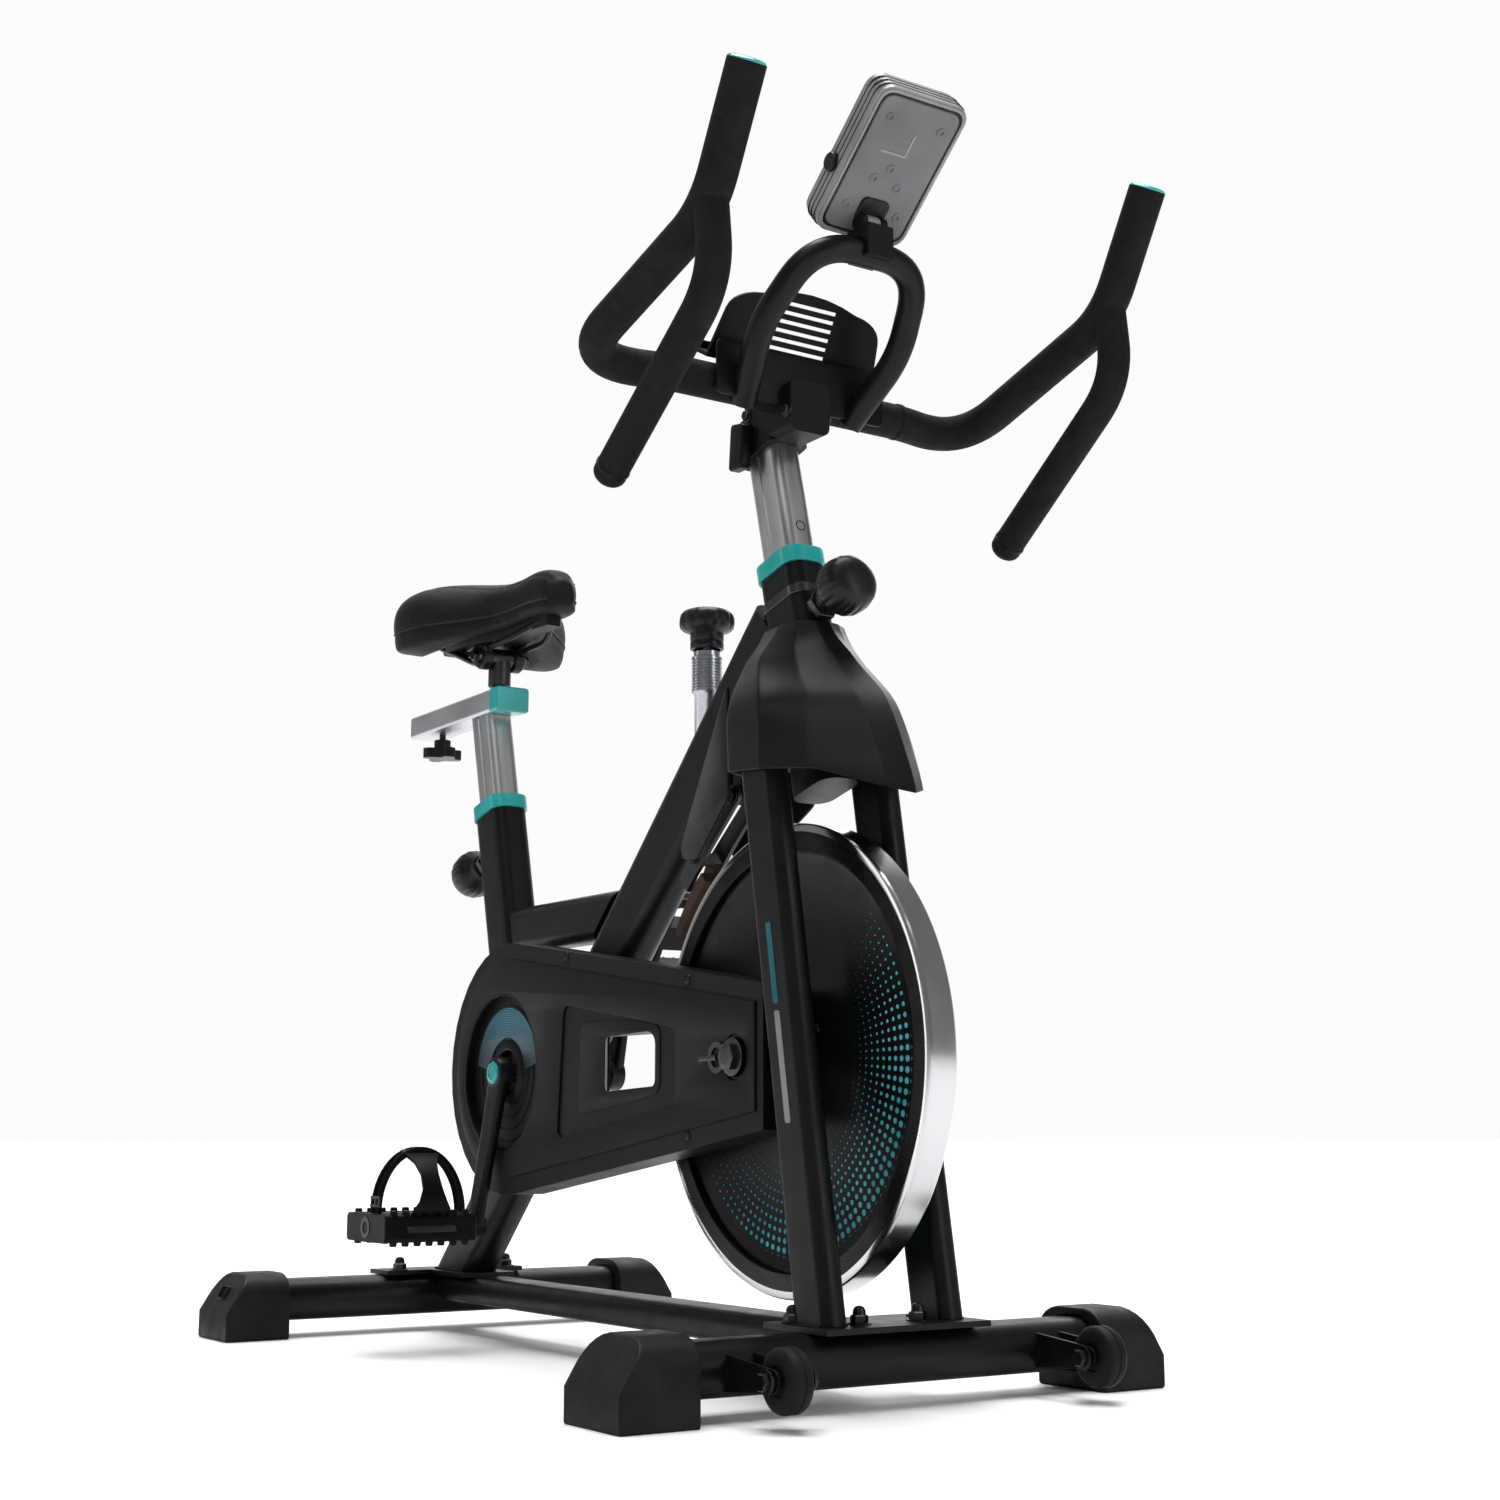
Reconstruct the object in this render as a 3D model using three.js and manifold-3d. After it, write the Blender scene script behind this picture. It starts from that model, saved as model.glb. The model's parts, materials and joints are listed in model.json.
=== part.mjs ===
// Indoor cycling bike, built from separate pieces. Millimetres, +Z up, +X the way the rider faces,
// +Y to the rider's left. The drive side, with its cover, is on the rider's right (-Y).
// Until the last line X counts from the back face of the rear feet; the origin ends up on the floor
// under the middle of the bike.
import * as THREE from 'three';
import { mergeVertices } from 'three/addons/utils/BufferGeometryUtils.js';
import Module from 'manifold-3d';

const wasm = await Module();
wasm.setup();

// ---------------------------------------------------------------- driving dimensions
const GAP = 0.3; // between pieces that touch
const FOOT_SPAN = 550;
const REAR_FOOT_X = 44;
const FRONT_FOOT_X = 876;
const FOOT_TUBE = { depth: 58, height: 44, centre: 39 };
const FOOT_CAP = { length: 71, depth: 88, height: 69, shoulder: 46, slopeFoot: 28, slopeRun: 25 };
const PLATE_THICKNESS = 5;
const PLATE_Z = FOOT_TUBE.centre + FOOT_TUBE.height / 2 + GAP;
const PLATE_TOP = PLATE_Z + PLATE_THICKNESS;
const BASE_TUBE = { width: 50, height: 30 };

const POST_TILT = THREE.MathUtils.degToRad(14); // both posts lean back by this much
const SOCKET = { depth: 62, width: 42, corner: 15 };
const POST = { depth: 50, width: 32, corner: 10, groove: 9, grooveDepth: 1.5 };
const POST_CLEARANCE = 0.6;
const COLLAR = { depth: 67, width: 47, height: 15, corner: 17 };
const SEAT_TUBE = { foot: 225, boreFoot: 322, top: 574 };
const HEAD_TUBE = { foot: 520, boreFoot: 532, top: 729 };

const MAIN_TUBE = { depth: 68, width: 40, corner: 15 };
const MAIN_TUBE_LOW = new THREE.Vector3(40, 0, 15);
const MAIN_TUBE_HIGH = new THREE.Vector3(732, 0, 684);
const SEAT_BEAM = { depth: 50, width: 36, height: 438 };
const FORK = { y: 60, footX: 873.7, lean: THREE.MathUtils.degToRad(9.9), depth: 50, width: 25, top: 540 };
const CROWN = { x: 789, depth: 52, width: 146, height: 18 };

const CRANK = new THREE.Vector3(302, 0, 280);
const CRANK_LENGTH = 156;
const ARM = { hubFrom: 59.5, hubTo: 75.5, hubMiddle: 67.5, footMiddle: 84, thickness: 12 };
const CRANK_REST = THREE.MathUtils.degToRad(6.3); // the right arm points down, this far behind vertical
const FLYWHEEL = {
  x: 754, z: 285, radius: 209, rimInner: 186, halfWidth: 14.3, webHalf: 6, hubRadius: 32, hubHalf: 29.8,
};
const AXLE_RADIUS = 6;
const SPINDLE_RADIUS = 8.5;
const PULLEY = { large: 80, small: 24, inner: -33, outer: -47 };
const BELT_THICKNESS = 2.5;
const COVER = {
  rearX: 313, z: 285, rearR: 130, frontX: 770, frontR: 66, end: 797, outer: -66, inner: -28, wall: 2.5,
};
const PEDAL = { inner: 106, width: 100, length: 96, height: 28 };

const BRAKE_X = 599;
const BRAKE_PIVOT = new THREE.Vector3(668, 0, 532);
const BRAKE_PAD = { gap: 13, thickness: 12 };
const TENSION = { foot: 536, barrelFoot: 645, shoulder: 678.5, top: 684, rodFoot: 484, rodTop: 699 };
const TENSION_RADII = { bore: 4.6, sleeve: 12, barrel: 15, mouth: 13, rod: 4 };
const FAR_PEDAL_PITCH = THREE.MathUtils.degToRad(55);

const BAR_RADIUS = 17;
const GRIP_RADIUS = 15;
const ARCH_RADIUS = 12.5;
const BAR_HALF_WIDTH = 218;

// ---------------------------------------------------------------- finishes
const FRAME_BLACK = { color: 0x141517, roughness: 0.42, metalness: 0.35 };
const COVER_BLACK = { color: 0x1c1d1f, roughness: 0.5, metalness: 0.0 };
const RUBBER_BLACK = { color: 0x111213, roughness: 0.75, metalness: 0.0 };
const FOAM_BLACK = { color: 0x18191a, roughness: 0.85, metalness: 0.0 };
const LEATHER_BLACK = { color: 0x151516, roughness: 0.55, metalness: 0.0 };
const ALUMINIUM = { color: 0xb9bbbe, roughness: 0.32, metalness: 0.9 };
const CHROME = { color: 0xe4e6e8, roughness: 0.1, metalness: 1.0 };
const STEEL = { color: 0x7c7e82, roughness: 0.35, metalness: 0.9 };
const CAST_BLACK = { color: 0x0f1011, roughness: 0.4, metalness: 0.5 };
const TEAL = { color: 0x2bb5b4, roughness: 0.3, metalness: 0.2 };
const DISPLAY_GREY = { color: 0x85888c, roughness: 0.35, metalness: 0.3 };
const SCREEN = { color: 0x0a0f12, roughness: 0.08, metalness: 0.0 };

// ---------------------------------------------------------------- solids from geometries
function signedVolume(positions, triangles) {
  let total = 0;
  const [a, b, c] = [new THREE.Vector3(), new THREE.Vector3(), new THREE.Vector3()];
  for (let i = 0; i < triangles.length; i += 3) {
    a.fromArray(positions, triangles[i] * 3);
    b.fromArray(positions, triangles[i + 1] * 3);
    c.fromArray(positions, triangles[i + 2] * 3);
    total += a.dot(b.cross(c)) / 6;
  }
  return total;
}

function solid(geometry) {
  const bare = geometry.index ? geometry.toNonIndexed() : geometry.clone();
  bare.deleteAttribute('normal');
  bare.deleteAttribute('uv');
  const merged = mergeVertices(bare, 1e-3);
  const positions = new Float32Array(merged.attributes.position.array);
  const triangles = [];
  for (let i = 0; i < merged.index.count; i += 3) {
    const [a, b, c] = [0, 1, 2].map((k) => merged.index.getX(i + k));
    if (a !== b && b !== c && c !== a) triangles.push(a, b, c);
  }
  if (signedVolume(positions, triangles) < 0) triangles.reverse();
  const triVerts = new Uint32Array(triangles);
  return new wasm.Manifold(new wasm.Mesh({ numProp: 3, vertProperties: positions, triVerts }));
}

function geometryOf(body) {
  const mesh = body.getMesh();
  const geometry = new THREE.BufferGeometry();
  const [positions, corners] = [new Float32Array(mesh.vertProperties), new Uint32Array(mesh.triVerts)];
  geometry.setAttribute('position', new THREE.BufferAttribute(positions, 3));
  geometry.setIndex(new THREE.BufferAttribute(corners, 1));
  geometry.computeVertexNormals();
  return geometry;
}

const union = (...bodies) => bodies.reduce((all, body) => all.add(body));
const cut = (body, ...tools) => tools.reduce((left, tool) => left.subtract(tool), body);
const largest = (body) => body.decompose().sort((a, b) => b.volume() - a.volume())[0];

// ---------------------------------------------------------------- shapes and simple solids
function roundedRectangle(width, height, corner) {
  const [w, h, r] = [width / 2, height / 2, Math.min(corner, width / 2 - 0.01, height / 2 - 0.01)];
  const shape = new THREE.Shape();
  shape.absarc(w - r, h - r, r, 0, Math.PI / 2);
  shape.absarc(-w + r, h - r, r, Math.PI / 2, Math.PI);
  shape.absarc(-w + r, -h + r, r, Math.PI, Math.PI * 1.5);
  shape.absarc(w - r, -h + r, r, Math.PI * 1.5, Math.PI * 2);
  return shape;
}

function outline(points) {
  return new THREE.Shape(points.map(([x, y]) => new THREE.Vector2(x, y)));
}

function extrude(shape, depth, curveSegments = 2) {
  return new THREE.ExtrudeGeometry(shape, { depth, bevelEnabled: false, curveSegments });
}

// A shape drawn in X and Z, standing between two values of Y.
function plateAcross(shape, y0, y1, curveSegments = 3) {
  return solid(extrude(shape, y1 - y0, curveSegments).rotateX(Math.PI / 2).translate(0, y1, 0));
}

// A straight length of one section between two points of one Y, the section's X in the XZ plane.
function lengthOf(section, from, to, curveSegments = 2) {
  const along = to.clone().sub(from);
  const length = along.length();
  along.normalize();
  const across = new THREE.Vector3(0, 1, 0);
  const matrix = new THREE.Matrix4().makeBasis(across.clone().cross(along), across, along);
  matrix.setPosition(from);
  return solid(extrude(section, length, curveSegments).applyMatrix4(matrix));
}

function strut(depth, width, corner, from, to, curveSegments = 2) {
  return lengthOf(roundedRectangle(depth, width, corner), from, to, curveSegments);
}

function box(x0, x1, y0, y1, z0, z1) {
  const geometry = new THREE.BoxGeometry(x1 - x0, y1 - y0, z1 - z0);
  return solid(geometry.translate((x0 + x1) / 2, (y0 + y1) / 2, (z0 + z1) / 2));
}

function roundAcross(radius, y0, y1, x, z, sides = 24) {
  const geometry = new THREE.CylinderGeometry(radius, radius, y1 - y0, sides);
  return solid(geometry.translate(x, (y0 + y1) / 2, z));
}

function roundUpright(radius, z0, z1, x, y, sides = 20) {
  const geometry = new THREE.CylinderGeometry(radius, radius, z1 - z0, sides).rotateX(Math.PI / 2);
  return solid(geometry.translate(x, y, (z0 + z1) / 2));
}

// Turned pieces: the profile is [radius, height] pairs, turned about local Z or about world Y.
function turned(profile, sides = 24) {
  const points = profile.map(([r, h]) => new THREE.Vector2(r, h));
  return new THREE.LatheGeometry(points, sides).rotateX(Math.PI / 2);
}

function turnedAcross(profile, x, z, sides = 32) {
  const points = profile.map(([r, y]) => new THREE.Vector2(r, y));
  return solid(new THREE.LatheGeometry(points, sides).translate(x, 0, z));
}

// Straight stretches joined by rounded corners. A full arc takes two sides for each curve segment.
function roundedPath(points, corners) {
  const path = new THREE.CurvePath();
  let start = points[0];
  for (let i = 1; i < points.length - 1; i += 1) {
    const back = points[i - 1].clone().sub(points[i]).setLength(corners[i - 1]).add(points[i]);
    const ahead = points[i + 1].clone().sub(points[i]).setLength(corners[i - 1]).add(points[i]);
    path.add(new THREE.LineCurve3(start, back));
    path.add(new THREE.QuadraticBezierCurve3(back, points[i], ahead));
    start = ahead;
  }
  path.add(new THREE.LineCurve3(start, points[points.length - 1]));
  return path;
}

function bentTube(path, radius, steps, sides = 10) {
  const section = new THREE.Shape();
  section.absarc(0, 0, radius, 0, Math.PI * 2);
  const settings = { steps, extrudePath: path, curveSegments: sides / 2, bevelEnabled: false };
  return solid(new THREE.ExtrudeGeometry(section, settings));
}

// Rings of points, one to the next, closed flat at both ends.
function loft(rings) {
  const count = rings[0].length;
  const positions = rings.flat().flatMap((p) => p.toArray());
  const triangles = [];
  for (let level = 0; level + 1 < rings.length; level += 1) {
    for (let i = 0; i < count; i += 1) {
      const [a, b] = [level * count + i, level * count + ((i + 1) % count)];
      triangles.push(a, b, a + count, b, b + count, a + count);
    }
  }
  const last = (rings.length - 1) * count;
  for (let i = 1; i + 1 < count; i += 1) {
    triangles.push(0, i + 1, i, last, last + i, last + i + 1);
  }
  const geometry = new THREE.BufferGeometry();
  geometry.setAttribute('position', new THREE.Float32BufferAttribute(positions, 3));
  geometry.setIndex(triangles);
  return solid(geometry);
}

const V = (x, y, z) => new THREE.Vector3(x, y, z);
const postOffset = (z) => -Math.tan(POST_TILT) * z;
const onSeatAxis = (z) => V(140 + postOffset(z - 645), 0, z);
const onHeadAxis = (z) => V(744 + postOffset(z - 741), 0, z);
const onFork = (z, side) => V(FORK.footX - Math.tan(FORK.lean) * (z - 59), side * FORK.y, z);

// ---------------------------------------------------------------- the scene
const bike = new THREE.Group();

function piece(name, body, finish, parent = bike) {
  const mesh = new THREE.Mesh(geometryOf(body), new THREE.MeshStandardMaterial(finish));
  mesh.name = name;
  parent.add(mesh);
  return mesh;
}

function groupAt(position, tilt = 0, parent = bike) {
  const group = new THREE.Group();
  group.position.copy(position);
  group.rotation.y = tilt;
  parent.add(group);
  return group;
}

// ---------------------------------------------------------------- feet
function footTube(x) {
  const end = FOOT_SPAN / 2 - 37;
  const section = extrude(roundedRectangle(FOOT_TUBE.depth, FOOT_TUBE.height, 20), 2 * end);
  return solid(section.rotateX(Math.PI / 2).translate(x, end, FOOT_TUBE.centre));
}

function footCap() {
  const half = FOOT_CAP.depth / 2;
  const side = new THREE.Shape();
  side.moveTo(-half, 0);
  side.lineTo(half, 0);
  side.lineTo(half, FOOT_CAP.shoulder);
  side.quadraticCurveTo(half - 3, FOOT_CAP.height - 3, half - 26, FOOT_CAP.height);
  side.lineTo(-half + 26, FOOT_CAP.height);
  side.quadraticCurveTo(-half + 3, FOOT_CAP.height - 3, -half, FOOT_CAP.shoulder);
  const outer = FOOT_SPAN / 2;
  const block = plateAcross(side, outer - FOOT_CAP.length, outer, 5);
  const reach = 20;
  const wedge = outline([
    [outer + reach, FOOT_CAP.slopeFoot - reach * 1.6],
    [outer + reach, FOOT_CAP.height + reach],
    [outer - FOOT_CAP.slopeRun - reach / 1.6, FOOT_CAP.height + reach],
  ]);
  const turn = new THREE.Matrix4().makeBasis(V(0, 1, 0), V(0, 0, 1), V(1, 0, 0));
  turn.setPosition(-FOOT_CAP.depth, 0, 0);
  const slope = solid(extrude(wedge, 2 * FOOT_CAP.depth).applyMatrix4(turn));
  const socketEnd = outer - 37 + GAP;
  const socketShape = roundedRectangle(FOOT_TUBE.depth + 2 * GAP, FOOT_TUBE.height + 2 * GAP, 20 + GAP);
  const socketStart = outer - FOOT_CAP.length - 5;
  const socket = extrude(socketShape, socketEnd - socketStart).rotateX(Math.PI / 2);
  return cut(block, slope, solid(socket.translate(0, socketEnd, FOOT_TUBE.centre)));
}

const WHEEL = { x: 966, y: 157, z: 37, radius: 25, halfWidth: 10 };

function wheelBracket(side) {
  const cheek = new THREE.Shape();
  cheek.moveTo(FRONT_FOOT_X + 15, WHEEL.z + 16);
  cheek.lineTo(FRONT_FOOT_X + 15, WHEEL.z - 14);
  cheek.lineTo(WHEEL.x, WHEEL.z - 9);
  cheek.absarc(WHEEL.x, WHEEL.z, 9, -Math.PI / 2, Math.PI / 2);
  cheek.lineTo(FRONT_FOOT_X + 15, WHEEL.z + 16);
  const centre = side * WHEEL.y;
  const inner = WHEEL.halfWidth + 1;
  const cheeks = [-1, 1].map((face) => {
    const y = centre + face * (inner + 1.5);
    return plateAcross(cheek, y - 1.5, y + 1.5);
  });
  const bolt = roundAcross(4, centre - inner - 8, centre + inner + 8, WHEEL.x, WHEEL.z, 16);
  return union(...cheeks, bolt);
}

const sideName = (side) => (side > 0 ? 'left' : 'right');

function addFeet() {
  piece('rear_stabilizer', footTube(REAR_FOOT_X), FRAME_BLACK);
  const frontFoot = union(footTube(FRONT_FOOT_X), wheelBracket(1), wheelBracket(-1));
  piece('front_stabilizer', frontFoot, FRAME_BLACK);
  const cap = footCap();
  for (const [end, x] of [['rear', REAR_FOOT_X], ['front', FRONT_FOOT_X]]) {
    for (const side of [1, -1]) {
      const mesh = piece(`${end}_foot_cap_${sideName(side)}`, cap, RUBBER_BLACK);
      mesh.position.x = x;
      mesh.rotation.z = side > 0 ? 0 : Math.PI;
    }
  }
  const [r, w] = [WHEEL.radius, WHEEL.halfWidth];
  const tread = [[4.4, -w], [r - 3, -w], [r, -w + 3], [r, w - 3], [r - 3, w], [4.4, w], [4.4, -w]];
  const roller = turnedAcross(tread, 0, 0, 24);
  for (const side of [1, -1]) {
    const wheel = piece(`transport_wheel_${sideName(side)}`, roller, RUBBER_BLACK);
    wheel.position.set(WHEEL.x, side * WHEEL.y, WHEEL.z);
  }
}

// ---------------------------------------------------------------- welded frame
function mainTube(extra = 0) {
  const { depth, width, corner } = MAIN_TUBE;
  return strut(depth + extra, width + extra, corner, MAIN_TUBE_LOW, MAIN_TUBE_HIGH);
}

// A thick slab along a line, starting at an offset on the line's front or under side.
const SLAB_THICKNESS = 160;

function slabAlong(low, high, start) {
  const along = high.clone().sub(low).normalize();
  const shift = V(0, 1, 0).cross(along).multiplyScalar(start + SLAB_THICKNESS / 2);
  return strut(SLAB_THICKNESS, 90, 1, low.clone().add(shift), high.clone().add(shift));
}

function socketTube(axis, size) {
  const outer = strut(SOCKET.depth, SOCKET.width, SOCKET.corner, axis(size.foot), axis(size.top), 3);
  const bore = postRoom(POST_CLEARANCE, axis(size.boreFoot), axis(size.top + 40));
  return { outer, bore };
}

function addFrame() {
  const baseZ = PLATE_Z + 1 - BASE_TUBE.height / 2;
  const reach = FOOT_TUBE.depth / 2 + GAP;
  const baseEnds = [V(REAR_FOOT_X + reach, 0, baseZ), V(FRONT_FOOT_X - reach, 0, baseZ)];
  const baseTube = strut(BASE_TUBE.height, BASE_TUBE.width, 12, ...baseEnds);
  const rearPlate = union(
    box(REAR_FOOT_X - 24, REAR_FOOT_X + 108, -32, 32, PLATE_Z, PLATE_TOP),
    box(REAR_FOOT_X - 24, REAR_FOOT_X + 24, -84, 84, PLATE_Z, PLATE_TOP),
  );
  const frontPlate = box(FRONT_FOOT_X - 52, FRONT_FOOT_X + 38, -84, 84, PLATE_Z, PLATE_TOP);
  piece('base_tube', union(baseTube, rearPlate, frontPlate), FRAME_BLACK);

  const head = socketTube(onHeadAxis, HEAD_TUBE);
  const crownX = [CROWN.x - CROWN.depth / 2, CROWN.x + CROWN.depth / 2];
  const crown = box(...crownX, -CROWN.width / 2, CROWN.width / 2, FORK.top, FORK.top + CROWN.height);
  const shell = roundAcross(22, -23, 40, CRANK.x, CRANK.z);
  const shellBore = roundAcross(SPINDLE_RADIUS + 0.7, -40, 60, CRANK.x, CRANK.z);
  const rodHole = roundUpright(14, 450, 640, BRAKE_X, 0);
  const pivotLug = roundAcross(9, -9, 9, BRAKE_PIVOT.x, BRAKE_PIVOT.z);
  const lugStem = strut(16, 18, 1, BRAKE_PIVOT, BRAKE_PIVOT.clone().setZ(BRAKE_PIVOT.z + 58));
  const pivotHole = roundAcross(4.6, -12, 12, BRAKE_PIVOT.x, BRAKE_PIVOT.z);
  const below = box(-60, 300, -60, 60, -40, PLATE_TOP + GAP);
  const [seatGuide, headGuide] = KNOBS.map(([, axis, z, forwards]) => guideOnSocket(axis, z, forwards));
  const frame = union(mainTube(), head.outer, headGuide.guide, crown, shell, pivotLug, lugStem);
  const holes = [head.bore, headGuide.bore, shellBore, rodHole, pivotHole, below];
  piece('main_tube', cut(frame, ...holes), FRAME_BLACK);

  const seat = socketTube(onSeatAxis, SEAT_TUBE);
  const underMain = slabAlong(MAIN_TUBE_LOW, MAIN_TUBE_HIGH, -MAIN_TUBE.depth / 2 - GAP);
  const seatTube = cut(union(seat.outer, seatGuide.guide), seat.bore, seatGuide.bore, underMain);
  piece('seat_tube', seatTube, FRAME_BLACK);

  const [beamFrom, beamTo] = [V(150, 0, SEAT_BEAM.height), V(520, 0, SEAT_BEAM.height)];
  const beam = strut(SEAT_BEAM.depth, SEAT_BEAM.width, 12, beamFrom, beamTo);
  const seatFront = SOCKET.depth / 2 + GAP - SLAB_THICKNESS;
  const behindSeat = slabAlong(onSeatAxis(200), onSeatAxis(700), seatFront);
  piece('seat_beam', cut(beam, underMain, behindSeat), FRAME_BLACK);

  for (const side of [1, -1]) {
    const legEnds = [onFork(20, side), onFork(FORK.top + 40, side)];
    const leg = strut(FORK.depth, FORK.width, 10, ...legEnds);
    const lug = new THREE.Shape();
    lug.moveTo(FLYWHEEL.x, FLYWHEEL.z + 17);
    lug.absarc(FLYWHEEL.x, FLYWHEEL.z, 17, Math.PI / 2, Math.PI * 1.5);
    lug.lineTo(FLYWHEEL.x + 70, FLYWHEEL.z - 17);
    lug.lineTo(FLYWHEEL.x + 70, FLYWHEEL.z + 17);
    const lugPlate = plateAcross(lug, side * 51 - 3, side * 51 + 3);
    const hole = roundAcross(AXLE_RADIUS + GAP, side * 51 - 5, side * 51 + 5, FLYWHEEL.x, FLYWHEEL.z);
    const ground = box(700, 1000, -100, 100, -20, PLATE_TOP + GAP);
    const above = box(700, 1000, -100, 100, FORK.top - GAP, FORK.top + 90);
    piece(`fork_leg_${sideName(side)}`, cut(union(leg, lugPlate), hole, ground, above), FRAME_BLACK);
  }

  const collars = [
    ['seat_collar', onSeatAxis, SEAT_TUBE.top],
    ['head_collar', onHeadAxis, HEAD_TUBE.top],
  ];
  for (const [name, axis, top] of collars) {
    const [foot, crest] = [axis(top + GAP), axis(top + GAP + COLLAR.height)];
    const ring = strut(COLLAR.depth, COLLAR.width, COLLAR.corner, foot, crest, 3);
    piece(name, cut(ring, postRoom(POST_CLEARANCE, axis(top - 10), axis(top + 40))), TEAL);
  }
}

// ---------------------------------------------------------------- front hood
// Level rings of the hood, from the head tube down to the open foot: [x, half width] pairs from the
// rear middle to the front middle.
const HOOD_RINGS = [
  { z: 674, half: [[733, 0], [738, 25], [765, 28], [793, 26], [802, 13], [806, 0]] },
  { z: 640, half: [[706, 0], [744, 50], [772, 53], [806, 38], [830, 14], [838, 0]] },
  { z: 592, half: [[696, 0], [758, 78], [806, 77], [842, 50], [876, 20], [888, 0]] },
  { z: 540, half: [[697, 0], [761, 80], [812, 81], [856, 60], [902, 20], [916, 0]] },
  { z: 496, half: [[700, 0], [761, 81], [814, 83], [866, 62], [918, 20], [932, 0]] },
];
const HOOD_WALL = 3;

function hoodLoft(inset, topZ, footZ) {
  const levels = HOOD_RINGS.map((ring, i) => {
    const z = i === 0 ? topZ : i === HOOD_RINGS.length - 1 ? footZ : ring.z;
    const middle = (ring.half[0][0] + ring.half[5][0]) / 2;
    const shrink = ([x, y]) => {
      const reach = Math.hypot(x - middle, y);
      const share = 1 - (inset * 1.15) / reach;
      return [middle + (x - middle) * share, y * share];
    };
    const left = ring.half.map(shrink);
    const right = left.slice(1, -1).reverse().map(([x, y]) => [x, -y]);
    return [...left, ...right].map(([x, y]) => V(x, y, z));
  });
  return loft(levels);
}

function hoodWing(side) {
  const blade = outline([
    [712, 628], [667, 571], [600, 489], [606, 476], [641, 473], [700, 512], [760, 545], [760, 600],
  ]);
  const plate = extrude(blade, HOOD_WALL).rotateX(Math.PI / 2);
  const hinge = new THREE.Matrix4().makeRotationZ(side * 0.17);
  plate.translate(-600, side > 0 ? HOOD_WALL : 0, 0).applyMatrix4(hinge);
  return solid(plate.translate(600, side * 27, 0));
}

function addHood() {
  const hollow = hoodLoft(HOOD_WALL, 678, 480);
  const shell = cut(hoodLoft(0, 674, 496), hollow);
  const keepOut = [
    strut(SOCKET.depth + 2, SOCKET.width + 2, 16, onHeadAxis(480), onHeadAxis(760)),
    mainTube(2),
    box(CROWN.x - 28, CROWN.x + 28, -73.6, 73.6, FORK.top - 40, FORK.top + CROWN.height + 1),
  ];
  const wings = [1, -1].map((side) => cut(hoodWing(side), hollow));
  const sideFoot = slabAlong(V(660, 0, 543), V(1000, 0, 516), 0);
  const noseFoot = slabAlong(V(660, 0, 603), V(1000, 0, 475), 0);
  const shape = cut(union(cut(shell, sideFoot.intersect(noseFoot)), ...wings), ...keepOut);
  piece('front_hood', shape, COVER_BLACK);
}

// ---------------------------------------------------------------- drive cover
// The outline round the two pulleys, cut off square at the front.
function coverOutline(inset, end) {
  const [rearR, frontR] = [COVER.rearR - inset, COVER.frontR - inset];
  const tilt = Math.acos((rearR - frontR) / (COVER.frontX - COVER.rearX));
  const tangentX = COVER.rearX + rearR * Math.cos(tilt);
  const tangentZ = rearR * Math.sin(tilt);
  const endZ = tangentZ - (end - tangentX) / Math.tan(tilt);
  const shape = new THREE.Shape();
  shape.moveTo(tangentX, COVER.z + tangentZ);
  shape.absarc(COVER.rearX, COVER.z, rearR, tilt, 2 * Math.PI - tilt);
  shape.lineTo(end, COVER.z - endZ);
  shape.lineTo(end, COVER.z + endZ);
  return shape;
}

// The window's tunnel widens rearwards from the outer face to the back plate.
const WINDOW = [[522, 258], [617, 262], [617, 306], [606, 313], [522, 310]];
const BACK_WINDOW = [[460, 254], [617, 262], [617, 306], [606, 313], [460, 313]];
const DISH = { radius: 81, depth: 8, hub: 24 };

function windowTunnel(grow, over) {
  const [midX, midZ] = [568, 286];
  const ring = (corners, y) => corners.map(([x, z]) => {
    return V(x + Math.sign(x - midX) * grow, y, z + Math.sign(z - midZ) * grow);
  });
  const levels = [ring(WINDOW, COVER.outer), ring(BACK_WINDOW, COVER.inner)];
  if (over) {
    levels.unshift(ring(WINDOW, COVER.outer - over));
    levels.push(ring(BACK_WINDOW, COVER.inner + over));
  }
  return loft(levels);
}

function addCover() {
  const { outer, inner, wall, end } = COVER;
  const block = plateAcross(coverOutline(0, end), outer, inner, 9);
  const hollow = plateAcross(coverOutline(wall, end - wall), outer + wall, inner + 10, 9);
  const dishFloor = outer + DISH.depth;
  const dishCup = roundAcross(DISH.radius + wall, outer, dishFloor + wall, CRANK.x, CRANK.z, 36);
  const dish = roundAcross(DISH.radius, outer - 5, dishFloor, CRANK.x, CRANK.z, 36);
  const hub = roundAcross(DISH.hub, outer - 5, inner + 10, CRANK.x, CRANK.z);
  const axleHole = roundAcross(17, outer - 5, inner + 10, FLYWHEEL.x, FLYWHEEL.z);
  const legSlot = box(end - 12, end + 10, -60, -42, FLYWHEEL.z - 20, FLYWHEEL.z + 20);
  const frame = windowTunnel(wall, 0);
  const hole = windowTunnel(0, 8);
  const cup = union(cut(block, hollow), dishCup, frame);
  piece('drive_cover', cut(cup, dish, hub, axleHole, legSlot, hole), COVER_BLACK);

  const back = plateAcross(coverOutline(0.5, end), inner + GAP, inner + GAP + wall, 9);
  const backHub = roundAcross(DISH.hub, inner - 5, inner + 10, CRANK.x, CRANK.z);
  const wheelHub = roundAcross(38, inner - 5, inner + 10, FLYWHEEL.x, FLYWHEEL.z);
  piece('drive_cover_back', cut(back, backHub, wheelHub, hole), COVER_BLACK);
}

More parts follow.
